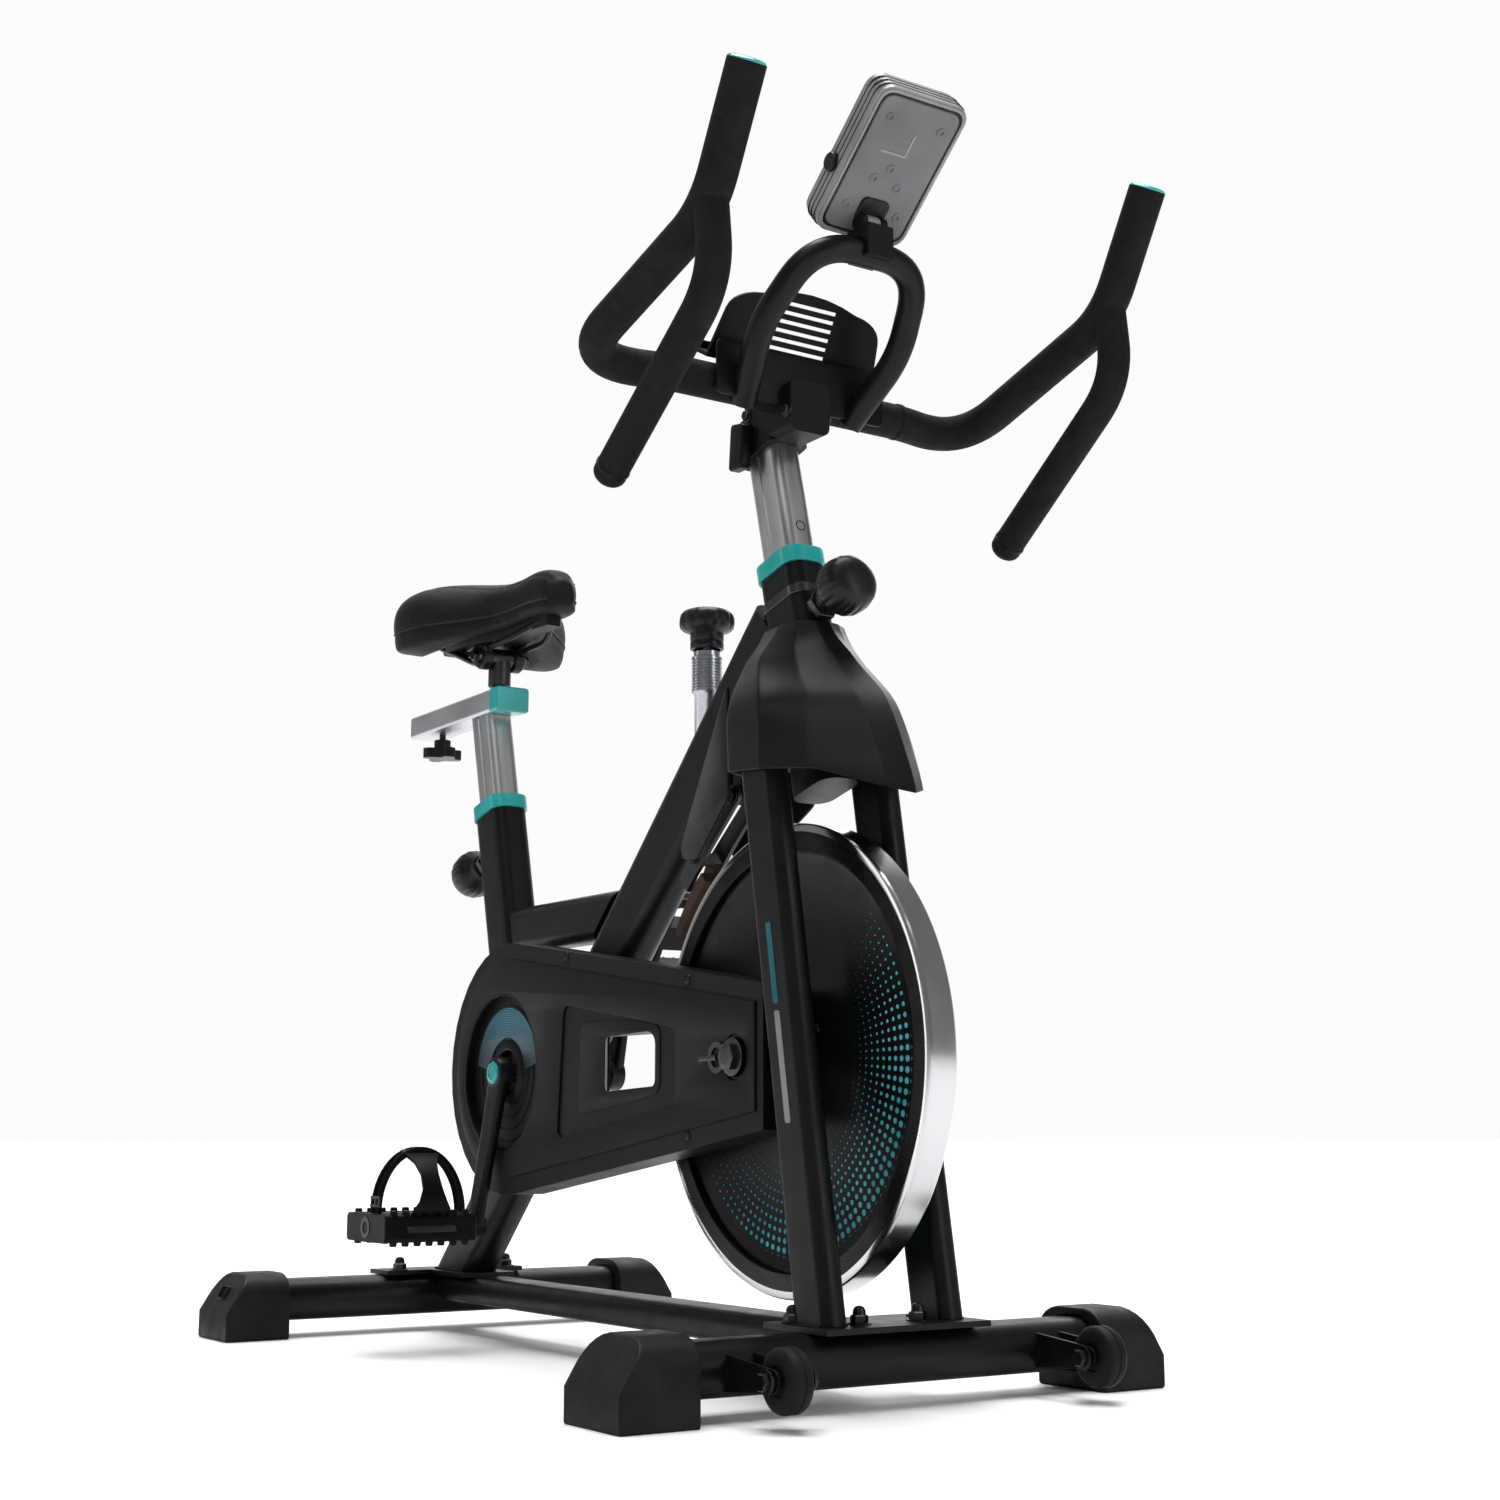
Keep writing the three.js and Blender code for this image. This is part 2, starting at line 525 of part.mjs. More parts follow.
// ---------------------------------------------------------------- drive
function beltOutline(extra) {
  const [large, small] = [PULLEY.large + extra, PULLEY.small + extra];
  const tilt = Math.acos((large - small) / (FLYWHEEL.x - CRANK.x));
  const shape = new THREE.Shape();
  shape.absarc(CRANK.x, CRANK.z, large, tilt, 2 * Math.PI - tilt);
  shape.absarc(FLYWHEEL.x, FLYWHEEL.z, small, 2 * Math.PI - tilt, 2 * Math.PI + tilt);
  return shape;
}

function addDrive() {
  const { large, small, inner, outer } = PULLEY;
  const halfSpindle = ARM.hubFrom - GAP;
  const spindle = roundAcross(SPINDLE_RADIUS, -halfSpindle, halfSpindle, CRANK.x, CRANK.z);
  piece('crank_spindle', spindle, STEEL);
  const bore = SPINDLE_RADIUS + GAP;
  const largeProfile = [
    [bore, outer - 4], [22, outer - 4], [22, -42], [large - 8, -42], [large - 8, outer],
    [large, outer], [large, inner], [large - 8, inner], [large - 8, -38], [22, -38], [22, -30],
    [bore, -30], [bore, outer - 4],
  ];
  piece('drive_pulley', turnedAcross(largeProfile, CRANK.x, CRANK.z, 30), STEEL);
  const axleBore = AXLE_RADIUS + GAP;
  const smallProfile = [
    [axleBore, outer + 1], [small, outer + 1], [small, inner], [small - 6, inner], [small - 6, -30.2],
    [axleBore, -30.2], [axleBore, outer + 1],
  ];
  piece('flywheel_pulley', turnedAcross(smallProfile, FLYWHEEL.x, FLYWHEEL.z, 32), STEEL);
  const beltRing = plateAcross(beltOutline(GAP + BELT_THICKNESS), outer + 2, inner - 1, 12);
  const beltHole = plateAcross(beltOutline(GAP), outer, inner + 1, 12);
  piece('drive_belt', cut(beltRing, beltHole), RUBBER_BLACK);

  const { radius, rimInner, halfWidth, webHalf, hubRadius, hubHalf, x, z } = FLYWHEEL;
  const discEdge = rimInner - GAP;
  const disc = [
    [axleBore, -hubHalf], [hubRadius, -hubHalf], [hubRadius, -webHalf], [discEdge, -webHalf],
    [discEdge, webHalf], [hubRadius, webHalf], [hubRadius, hubHalf], [axleBore, hubHalf],
    [axleBore, -hubHalf],
  ];
  piece('flywheel_disc', turnedAcross(disc, x, z, 48), CAST_BLACK);
  const rim = [
    [rimInner, -halfWidth], [radius - 1, -halfWidth], [radius, -halfWidth + 1], [radius, halfWidth - 1],
    [radius - 1, halfWidth], [rimInner, halfWidth], [rimInner, -halfWidth],
  ];
  piece('flywheel_rim', turnedAcross(rim, x, z, 72), CHROME);
  const nut = 11;
  const axle = [
    [0, -78], [AXLE_RADIUS, -78], [AXLE_RADIUS, -70], [nut, -70], [nut, -54.4], [AXLE_RADIUS, -54.4],
    [AXLE_RADIUS, 54.4], [nut, 54.4], [nut, 66], [AXLE_RADIUS, 66], [AXLE_RADIUS, 73], [0, 73],
  ];
  piece('flywheel_axle', turnedAcross(axle, x, z, 12), STEEL);
}

// The arm hangs down from its hub and splays outwards to the pedal.
function crankArm(side) {
  const splay = Math.atan((ARM.footMiddle - ARM.hubMiddle) / CRANK_LENGTH);
  const length = CRANK_LENGTH / Math.cos(splay);
  const arm = new THREE.Shape();
  arm.absarc(0, 0, 16, 0, Math.PI);
  arm.lineTo(-11, -length);
  arm.absarc(0, -length, 12, Math.PI, 2 * Math.PI);
  const blade = extrude(arm, ARM.thickness, 10).rotateX(Math.PI / 2).translate(0, ARM.thickness / 2, 0);
  blade.rotateX(side * splay).translate(0, side * ARM.hubMiddle, 0);
  const reach = PEDAL.inner + PEDAL.width - 6;
  const [hubLow, hubHigh] = [side * ARM.hubFrom, side * ARM.hubTo].sort((a, b) => a - b);
  const [spindleLow, spindleHigh] = [side * ARM.footMiddle, side * reach].sort((a, b) => a - b);
  const hub = roundAcross(17, hubLow, hubHigh, 0, 0);
  const spindle = roundAcross(5, spindleLow, spindleHigh, 0, -CRANK_LENGTH, 14);
  return union(solid(blade), hub, spindle);
}

function pedalBody(side) {
  const { inner, width, length, height } = PEDAL;
  const [y0, y1] = side > 0 ? [inner, inner + width] : [-inner - width, -inner];
  const tread = roundedRectangle(length, height, 5);
  const block = plateAcross(tread, y0, y1, 3);
  const rail = 12;
  const windows = [-1, 1].map((end) => {
    const [x0, x1] = end > 0 ? [14, length / 2 - 9] : [-length / 2 + 9, -14];
    return box(x0, x1, y0 + rail, y1 - rail, -height, height);
  });
  const bore = roundAcross(5.4, y0 - side * 5, y1 - side * 5, 0, 0, 14);
  return cut(block, ...windows, bore);
}

const CAGE = { rise: 64, thickness: 3, strapWidth: 22 };

function toeCage(side) {
  const { inner, width, length, height } = PEDAL;
  const middle = side * (inner + width / 2);
  const [halfWidth, foot] = [width / 2 - 4, height / 2 + GAP];
  const hoop = new THREE.Shape();
  hoop.moveTo(-halfWidth, foot);
  const [innerHalf, crest] = [halfWidth - CAGE.thickness, foot + CAGE.rise * 1.3];
  const innerCrest = crest - CAGE.thickness * 1.3;
  hoop.bezierCurveTo(-halfWidth, crest, halfWidth, crest, halfWidth, foot);
  hoop.lineTo(innerHalf, foot);
  hoop.bezierCurveTo(innerHalf, innerCrest, -innerHalf, innerCrest, -innerHalf, foot);
  const turn = new THREE.Matrix4().makeBasis(V(0, 1, 0), V(0, 0, 1), V(1, 0, 0));
  turn.setPosition(6, middle, 0);
  const strap = solid(extrude(hoop, CAGE.strapWidth, 10).applyMatrix4(turn));
  const tongue = new THREE.Shape();
  const [front, top] = [length / 2 + GAP, foot + CAGE.rise * 0.97];
  tongue.moveTo(front - 14, foot);
  tongue.lineTo(front + CAGE.thickness, foot);
  tongue.quadraticCurveTo(front + 18, foot + 34, 18, top);
  tongue.lineTo(14, top - CAGE.thickness);
  tongue.quadraticCurveTo(front + 12, foot + 32, front - 2, foot + CAGE.thickness);
  tongue.lineTo(front - 14, foot + CAGE.thickness);
  return union(strap, plateAcross(tongue, middle - 17, middle + 17, 6));
}

function addCranks() {
  const crankGroup = groupAt(CRANK, CRANK_REST);
  piece('crank_arm_right', crankArm(-1), FRAME_BLACK, crankGroup);
  const leftArm = crankArm(1);
  const leftMesh = piece('crank_arm_left', leftArm, FRAME_BLACK, crankGroup);
  leftMesh.rotation.y = Math.PI;
  for (const side of [-1, 1]) {
    const reach = V(0, 0, CRANK_LENGTH).applyAxisAngle(V(0, 1, 0), CRANK_REST).multiplyScalar(side);
    const pedalGroup = groupAt(CRANK.clone().add(reach), side > 0 ? -FAR_PEDAL_PITCH : 0);
    piece(`pedal_${sideName(side)}`, pedalBody(side), RUBBER_BLACK, pedalGroup);
    piece(`toe_cage_${sideName(side)}`, toeCage(side), COVER_BLACK, pedalGroup);
  }
}

// ---------------------------------------------------------------- brake
function addBrake() {
  const { foot, barrelFoot, shoulder, top, rodFoot, rodTop } = TENSION;
  const { bore, sleeve, barrel, mouth, rod } = TENSION_RADII;
  const housing = [
    [bore, foot], [sleeve, foot], [sleeve, barrelFoot], [barrel, barrelFoot], [barrel, shoulder],
    [mouth, shoulder], [mouth, top], [bore, top], [bore, foot],
  ];
  const turnedHousing = solid(turned(housing).translate(BRAKE_X, 0, 0));
  piece('tension_housing', turnedHousing, STEEL);
  piece('tension_rod', roundUpright(rod, rodFoot, rodTop, BRAKE_X, 0, 12), STEEL);
  const [knobBore, skirt] = [rod + GAP, mouth + 0.6];
  const knob = [
    [knobBore, top + 7], [skirt, top + 7], [skirt, top + 2], [16.5, top + 2], [16.5, top + 18],
    [24, top + 21], [27.5, top + 26], [27.5, top + 34], [24, top + 40], [12, top + 43],
    [0, top + 43.5], [0, top + 15.4], [knobBore, top + 15.4], [knobBore, top + 7],
  ];
  piece('tension_knob', solid(turned(knob, 24).translate(BRAKE_X, 0, 0)), RUBBER_BLACK);

  const cheekOutline = new THREE.Shape();
  cheekOutline.absarc(BRAKE_PIVOT.x, BRAKE_PIVOT.z, 10, -0.6, Math.PI * 0.75);
  cheekOutline.lineTo(BRAKE_X - 12, 482);
  cheekOutline.lineTo(BRAKE_X - 26, 462);
  cheekOutline.lineTo(BRAKE_X - 12, 447);
  cheekOutline.lineTo(BRAKE_X + 26, 484);
  const cheeks = [1, -1].map((side) => plateAcross(cheekOutline, side * 12 - 2, side * 12 + 2, 4));
  const bridge = box(BRAKE_X - 14, BRAKE_X + 14, -11, 11, 474, 483.5);
  const pin = roundAcross(4, -15, 15, BRAKE_PIVOT.x, BRAKE_PIVOT.z, 12);
  const arm = union(...cheeks, bridge, pin);
  const padFace = FLYWHEEL.radius + BRAKE_PAD.gap;
  const padBack = padFace + BRAKE_PAD.thickness;
  const pad = new THREE.Shape();
  const [padFrom, padTo] = [Math.PI * 0.72, Math.PI * 0.82];
  pad.absarc(FLYWHEEL.x, FLYWHEEL.z, padBack, padFrom, padTo, false);
  pad.absarc(FLYWHEEL.x, FLYWHEEL.z, padFace, padTo, padFrom, true);
  const padSolid = plateAcross(pad, -9.6, 9.6, 8);
  const clear = roundAcross(padBack + GAP, -30, 30, FLYWHEEL.x, FLYWHEEL.z, 72);
  piece('brake_arm', cut(arm, clear), STEEL);
  piece('brake_pad', padSolid, LEATHER_BLACK);
}

// ---------------------------------------------------------------- posts and their locking knobs
function postSection() {
  const [halfDepth, halfWidth, r] = [POST.depth / 2, POST.width / 2, POST.corner];
  const [groove, floor] = [POST.groove / 2, POST.width / 2 - POST.grooveDepth];
  const shape = new THREE.Shape();
  shape.absarc(halfDepth - r, halfWidth - r, r, 0, Math.PI / 2);
  shape.lineTo(groove, halfWidth);
  shape.lineTo(groove - 1, floor);
  shape.lineTo(-groove + 1, floor);
  shape.lineTo(-groove, halfWidth);
  shape.absarc(-halfDepth + r, halfWidth - r, r, Math.PI / 2, Math.PI);
  shape.absarc(-halfDepth + r, -halfWidth + r, r, Math.PI, Math.PI * 1.5);
  shape.lineTo(-groove, -halfWidth);
  shape.lineTo(-groove + 1, -floor);
  shape.lineTo(groove - 1, -floor);
  shape.lineTo(groove, -halfWidth);
  shape.absarc(halfDepth - r, -halfWidth + r, r, Math.PI * 1.5, Math.PI * 2);
  return shape;
}

const postBetween = (from, to) => lengthOf(postSection(), from, to);

// The post's outer size as a plain solid, to cut room for it in other pieces.
function postRoom(clearance, from, to) {
  const [depth, width] = [POST.depth + 2 * clearance, POST.width + 2 * clearance];
  return strut(depth, width, POST.corner, from, to);
}

const PIN_RADIUS = 5;
const KNOB_NECK = 24;

// A spring pin through the socket's wall, its guide and the round knob on its end, along local Z.
function pinShape() {
  const stop = POST.depth / 2 + 1.5;
  const end = SOCKET.depth / 2 + KNOB_NECK;
  return solid(turned([[0, stop], [PIN_RADIUS, stop], [PIN_RADIUS, end + 14], [0, end + 14]], 14));
}

function knobShape() {
  const foot = SOCKET.depth / 2 + KNOB_NECK;
  const bore = PIN_RADIUS + GAP;
  return solid(turned([
    [bore, foot - 6], [15, foot - 6], [16, foot + 2], [24, foot + 7], [27, foot + 17],
    [26.5, foot + 27], [22, foot + 36], [12, foot + 41], [0, foot + 42], [0, foot + 14.4],
    [bore, foot + 14.4], [bore, foot - 6],
  ], 20));
}

function guideShape() {
  const [from, to] = [SOCKET.depth / 2 - 4, SOCKET.depth / 2 + KNOB_NECK - 7];
  return [[0, from], [12, from], [12, to], [0, to]];
}

const knobLean = (forwards) => (forwards ? Math.PI / 2 - POST_TILT : -Math.PI / 2 - POST_TILT);

function guideOnSocket(axis, z, forwards) {
  const matrix = new THREE.Matrix4().makeRotationY(knobLean(forwards)).setPosition(axis(z));
  const guide = solid(turned(guideShape(), 14).applyMatrix4(matrix));
  const [from, to] = [POST.depth / 2 - 3, SOCKET.depth / 2 + KNOB_NECK];
  const boreRadius = PIN_RADIUS + GAP;
  const profile = [[0, from], [boreRadius, from], [boreRadius, to], [0, to]];
  const bore = solid(turned(profile, 10).applyMatrix4(matrix));
  return { guide, bore };
}

const KNOBS = [
  ['seat_height', onSeatAxis, 532, false],
  ['handlebar_height', onHeadAxis, 683, true],
];

function addKnobs() {
  for (const [name, axis, z, forwards] of KNOBS) {
    const frame = groupAt(axis(z), knobLean(forwards));
    piece(`${name}_pin`, pinShape(), STEEL, frame);
    piece(`${name}_knob`, knobShape(), RUBBER_BLACK, frame);
  }
}

// ---------------------------------------------------------------- handlebar
const CROSS = V(742, 0, 903);
const BAR_BEND = V(726, BAR_HALF_WIDTH + 2, 902);
const BAR_JUNCTION = V(945, 218, 962);
const HORN_TOP = V(1004, 218.5, 1068);
const INNER_KNEE = V(958, 218, 899);
const INNER_TIP = V(785, 221, 773);
const ARCH_TOP = V(872, 0, 1001);

const mirrored = (point) => V(point.x, -point.y, point.z);

function addHandlebar() {
  const postTop = 874;
  const post = postBetween(onHeadAxis(590), onHeadAxis(postTop));
  piece('handlebar_post', post, ALUMINIUM);

  const half = [BAR_JUNCTION, BAR_BEND, V(CROSS.x, 130, CROSS.z)];
  const line = [HORN_TOP, ...half, ...half.map(mirrored).reverse(), mirrored(HORN_TOP)];
  const barPath = roundedPath(line, [34, 62, 20, 20, 62, 34]);
  const bar = bentTube(barPath, BAR_RADIUS, 56, 12);
  piece('handlebar_bar', bar, FRAME_BLACK);

  for (const side of [1, -1]) {
    const place = (point) => (side > 0 ? point : mirrored(point));
    const start = BAR_JUNCTION.clone().lerp(HORN_TOP, 0.08);
    const path = roundedPath([start, INNER_KNEE, INNER_TIP].map(place), [38]);
    const innerBar = bentTube(path, GRIP_RADIUS, 18);
    const clearance = [HORN_TOP, BAR_JUNCTION, BAR_BEND, V(CROSS.x, 130, CROSS.z)].map(place);
    const tool = bentTube(roundedPath(clearance, [34, 62]), BAR_RADIUS + 1, 24, 12);
    piece(`inner_bar_${sideName(side)}`, largest(innerBar.subtract(tool)), FOAM_BLACK);
  }

  const archHalf = [V(756, 60, 884), V(812, 78, 938), V(872, 58, 1001)];
  const archLine = [...archHalf, ...archHalf.map(mirrored).reverse()];
  const archPath = roundedPath(archLine, [26, 44, 44, 26]);
  const arch = bentTube(archPath, ARCH_RADIUS, 26);
  const barTool = roundAcross(BAR_RADIUS + GAP, -128, 128, CROSS.x, CROSS.z, 14);
  piece('display_arch', largest(arch.subtract(barTool)), FRAME_BLACK);

  const clampBlock = union(
    strut(62, 44, 8, onHeadAxis(852), onHeadAxis(892)),
    strut(50, 44, 8, V(700, 0, 884), V(778, 0, 884)),
    roundAcross(21, -22, 22, CROSS.x, CROSS.z, 24),
  );
  const postTool = postRoom(GAP, onHeadAxis(800), onHeadAxis(postTop + GAP));
  const barBore = roundAcross(BAR_RADIUS + GAP, -60, 60, CROSS.x, CROSS.z, 28);
  piece('handlebar_clamp', cut(clampBlock, postTool, barBore), RUBBER_BLACK);
  addTray();
}

// The tablet rest leans forward from a ledge above the cross bar.
const TRAY = {
  foot: V(742, 0, 926.5), lean: THREE.MathUtils.degToRad(30), height: 76, footHalf: 94, topHalf: 86,
};
const TRAY_SLOT = { half: 32, height: 3.4, pitch: 8.6, count: 6, first: 20 };

function addTray() {
  const plate = new THREE.Shape();
  plate.moveTo(-TRAY.footHalf, 0);
  plate.lineTo(TRAY.footHalf, 0);
  plate.lineTo(TRAY.topHalf, TRAY.height * 0.62);
  plate.quadraticCurveTo(TRAY.topHalf - 4, TRAY.height * 0.86, TRAY.topHalf - 34, TRAY.height * 0.9);
  plate.quadraticCurveTo(0, TRAY.height * 1.12, -TRAY.topHalf + 34, TRAY.height * 0.9);
  plate.quadraticCurveTo(-TRAY.topHalf + 4, TRAY.height * 0.86, -TRAY.topHalf, TRAY.height * 0.62);
  const turn = new THREE.Matrix4().makeBasis(V(0, 1, 0), V(0, 0, 1), V(1, 0, 0));
  const sheet = solid(extrude(plate, 4, 6).applyMatrix4(turn));
  const ledge = box(-26, 4, -TRAY.footHalf, TRAY.footHalf, 0, 4);
  const lip = box(-26, -22, -TRAY.footHalf, TRAY.footHalf, 0, 11);
  const slots = Array.from({ length: TRAY_SLOT.count }, (_, i) => {
    const z = TRAY_SLOT.first + i * TRAY_SLOT.pitch;
    return box(-10, 12, -TRAY_SLOT.half, TRAY_SLOT.half, z, z + TRAY_SLOT.height);
  });
  const frame = groupAt(TRAY.foot, TRAY.lean);
  piece('tablet_rest', cut(union(sheet, ledge, lip), ...slots), COVER_BLACK, frame);
}

// ---------------------------------------------------------------- display
const DISPLAY = {
  hinge: V(874, 0, 1029), lean: THREE.MathUtils.degToRad(50.4), width: 98, height: 143, depth: 27,
  corner: 15, back: -10, middle: 51, pocket: 4,
};
const DISPLAY_BUTTON = { radius: 8, z: -6 };

// A rounded slab in the display's own frame, from one depth to another.
function displaySlab(width, height, corner, near, far, middleZ) {
  const turn = new THREE.Matrix4().makeBasis(V(0, 1, 0), V(0, 0, 1), V(1, 0, 0));
  turn.setPosition(near, 0, middleZ);
  return solid(extrude(roundedRectangle(width, height, corner), far - near, 3).applyMatrix4(turn));
}

function roundForward(radius, x0, x1, z, sides = 20) {
  const geometry = new THREE.CylinderGeometry(radius, radius, x1 - x0, sides).rotateZ(Math.PI / 2);
  return solid(geometry.translate((x0 + x1) / 2, 0, z));
}

function addDisplay() {
  const { hinge, lean, width, height, depth, corner, back, middle, pocket } = DISPLAY;
  const block = box(hinge.x - 16, hinge.x + 16, -14, 14, ARCH_TOP.z - 8, ARCH_TOP.z + 22);
  const ears = [1, -1].map((side) => {
    return roundAcross(8, side * 11 - 3, side * 11 + 3, hinge.x, hinge.z, 16);
  });
  const archTool = roundAcross(ARCH_RADIUS + 0.6, -30, 30, ARCH_TOP.x, ARCH_TOP.z, 12);
  const knuckleRoom = roundAcross(12, -7.6, 7.6, hinge.x, hinge.z, 16);
  const pin = roundAcross(3, -13, 13, hinge.x, hinge.z, 12);
  const mount = union(cut(union(block, ...ears), archTool, knuckleRoom), pin);
  piece('display_mount', mount, RUBBER_BLACK);

  const frame = groupAt(hinge, lean);
  const face = back - depth;
  const shell = displaySlab(width, height, corner, face, back, middle);
  const knuckle = union(roundAcross(7, -7, 7, 0, 0, 20), box(back - 1, 0, -7, 7, -6, 6));
  const pinBore = roundAcross(3.4, -12, 12, 0, 0, 16);
  const screenZ = middle + 10;
  const recess = displaySlab(width - 14, height - 40, 8, face - 2, face + pocket, screenZ);
  const { radius, z } = DISPLAY_BUTTON;
  const buttonWell = roundForward(radius + GAP, face - 2, face + pocket, z);
  const housing = cut(union(shell, knuckle), pinBore, recess, buttonWell);
  piece('display_housing', housing, DISPLAY_GREY, frame);
  const [lensWidth, lensHeight] = [width - 14 - 2 * GAP, height - 40 - 2 * GAP];
  const lens = displaySlab(lensWidth, lensHeight, 8, face + 0.6, face + pocket - GAP, screenZ);
  piece('display_screen', lens, SCREEN, frame);
  piece('display_button', roundForward(radius, face - 1.6, face + 1.4, z), RUBBER_BLACK, frame);
}

// ---------------------------------------------------------------- seat
const RAIL = { rear: -52, front: 162, width: 40, foot: 693, top: 720, wall: 3.4, slotRear: 58 };
const RAIL_KNOB_X = -3;
const CARRIAGE = { rear: -38, front: 158, stemX: 147, stemRadius: 8, stemTop: 748 };
const SADDLE_BOLT = V(147, 0, 760);
const SADDLE_UNDERSIDE = 785.3;
const SADDLE_RAIL = [[84, 34, 782], [104, 22, 768.5], [218, 22, 768.5], [262, 8, 782]];

// Sections of the cushion from its tail to its nose.
const CUSHION_SECTIONS = [
  { x: 42, half: 62, foot: 792, top: 826 },
  { x: 50, half: 86, foot: 778, top: 842 },
  { x: 74, half: 104, foot: 767, top: 850 },
  { x: 104, half: 107, foot: 765, top: 851 },
  { x: 134, half: 94, foot: 770, top: 847 },
  { x: 164, half: 66, foot: 776, top: 841 },
  { x: 192, half: 43, foot: 781, top: 837 },
  { x: 228, half: 31, foot: 784, top: 838 },
  { x: 266, half: 27, foot: 785.5, top: 840 },
  { x: 292, half: 23, foot: 786, top: 835 },
  { x: 305, half: 13, foot: 792, top: 821 },
];

function cushionRing({ x, half, foot, top }) {
  const crown = Array.from({ length: 11 }, (_, i) => {
    const angle = (i / 10) * Math.PI;
    const y = half * Math.sign(Math.cos(angle)) * Math.abs(Math.cos(angle)) ** 0.75;
    const middle = foot + (top - foot) * 0.35;
    return V(x, y, middle + (top - middle) * Math.sin(angle) ** 0.7);
  });
  const underside = Math.max(foot, SADDLE_UNDERSIDE);
  const skirt = [
    [-0.94, foot], [-0.62, foot], [-0.5, underside], [0.5, underside], [0.62, foot], [0.94, foot],
  ];
  return [...crown, ...skirt.map(([share, z]) => V(x, share * half, z))];
}

function addSeat() {
  const railCut = box(-200, 400, -60, 60, RAIL.foot - GAP, 900);
  piece('seat_post', cut(postBetween(onSeatAxis(400), onSeatAxis(730)), railCut), ALUMINIUM);

  const halfWidth = RAIL.width / 2;
  const middle = (RAIL.foot + RAIL.top) / 2;
  const [from, to] = [V(RAIL.rear, 0, middle), V(RAIL.front, 0, middle)];
  const height = RAIL.top - RAIL.foot;
  const tube = strut(height, RAIL.width, 4, from, to);
  const innerSize = [height - 2 * RAIL.wall, RAIL.width - 2 * RAIL.wall];
  const hollow = strut(...innerSize, 2, V(RAIL.rear - 5, 0, middle), V(RAIL.front + 5, 0, middle));
  const slotHalf = CARRIAGE.stemRadius + 1.5;
  const slot = box(RAIL.slotRear, RAIL.front + 5, -slotHalf, slotHalf, middle, RAIL.top + 20);
  const knobHole = roundUpright(4.4, RAIL.foot - 13, RAIL.foot + 7, RAIL_KNOB_X, 0, 16);
  piece('seat_rail', cut(tube, hollow, slot, knobHole), ALUMINIUM);

  const capFrom = V(RAIL.front + GAP, 0, middle);
  const cap = strut(height + 2, RAIL.width + 2, 4, capFrom, capFrom.clone().setX(RAIL.front + 20));
  piece('seat_rail_cap', cap, TEAL);

  const clearance = 0.5;
  const slideSize = innerSize.map((size) => size - 2 * clearance);
  const slide = strut(...slideSize, 2, V(CARRIAGE.rear, 0, middle), V(CARRIAGE.front, 0, middle));
  const stem = roundUpright(CARRIAGE.stemRadius, middle, CARRIAGE.stemTop, CARRIAGE.stemX, 0, 14);
  piece('saddle_carriage', union(slide, stem), FRAME_BLACK);

  const screwTip = RAIL.foot + RAIL.wall + clearance - GAP;
  const wings = new THREE.Shape();
  for (let lobe = 0; lobe < 4; lobe += 1) {
    const middleAngle = (lobe * Math.PI) / 2;
    for (const [turn, reach] of [[-0.5, 15], [-0.3, 23], [0, 25], [0.3, 23]]) {
      const angle = middleAngle + turn;
      const point = [reach * Math.cos(angle), reach * Math.sin(angle)];
      if (lobe === 0 && turn === -0.5) wings.moveTo(...point);
      else wings.lineTo(...point);
    }
  }
  const head = solid(extrude(wings, 12).translate(RAIL_KNOB_X, 0, RAIL.foot - 30));
  const boss = roundUpright(10, RAIL.foot - 19, RAIL.foot - 7, RAIL_KNOB_X, 0, 14);
  const screw = roundUpright(4, RAIL.foot - 8, screwTip, RAIL_KNOB_X, 0, 12);
  piece('seat_rail_knob', union(head, boss, screw), RUBBER_BLACK);

  const bolt = roundAcross(3, -34, 34, SADDLE_BOLT.x, SADDLE_BOLT.z, 8);
  const barrel = roundAcross(11, -17.5, 17.5, SADDLE_BOLT.x, SADDLE_BOLT.z, 16);
  const washers = [1, -1].map((side) => {
    return roundAcross(10, side * 28.5 - 2, side * 28.5 + 2, SADDLE_BOLT.x, SADDLE_BOLT.z, 12);
  });
  const socket = roundUpright(13, RAIL.top + 7, 756, CARRIAGE.stemX, 0, 16);
  const { stemRadius, stemTop, stemX } = CARRIAGE;
  const stemBore = roundUpright(stemRadius + GAP, RAIL.top, stemTop + GAP, stemX, 0, 14);
  piece('saddle_clamp', cut(union(bolt, barrel, ...washers, socket), stemBore), RUBBER_BLACK);

  const rails = [1, -1].map((side) => {
    const line = SADDLE_RAIL.map(([x, y, z]) => V(x, side * y, z));
    return bentTube(roundedPath(line, [12, 14]), 3.5, 12, 6);
  });
  const plan = [[66, 38], [90, 46], [130, 42], [164, 27], [192, 18], [228, 13], [262, 11], [278, 9]];
  const shellRings = plan.map(([x, half]) => [
    V(x, -half, SADDLE_UNDERSIDE - GAP), V(x, half, SADDLE_UNDERSIDE - GAP),
    V(x, half * 0.86, 774), V(x, -half * 0.86, 774),
  ]);
  piece('saddle_shell', union(loft(shellRings), ...rails), RUBBER_BLACK);
  piece('saddle_cushion', loft(CUSHION_SECTIONS.map(cushionRing)), LEATHER_BLACK);
}

// ---------------------------------------------------------------- assembly
addFeet();
addFrame();
addHood();
addCover();
addDrive();
addCranks();
addBrake();
addKnobs();
addHandlebar();
addDisplay();
addSeat();

bike.updateMatrixWorld(true);
const extent = new THREE.Box3().setFromObject(bike, true);
bike.position.x = -(extent.min.x + extent.max.x) / 2;

export default bike;
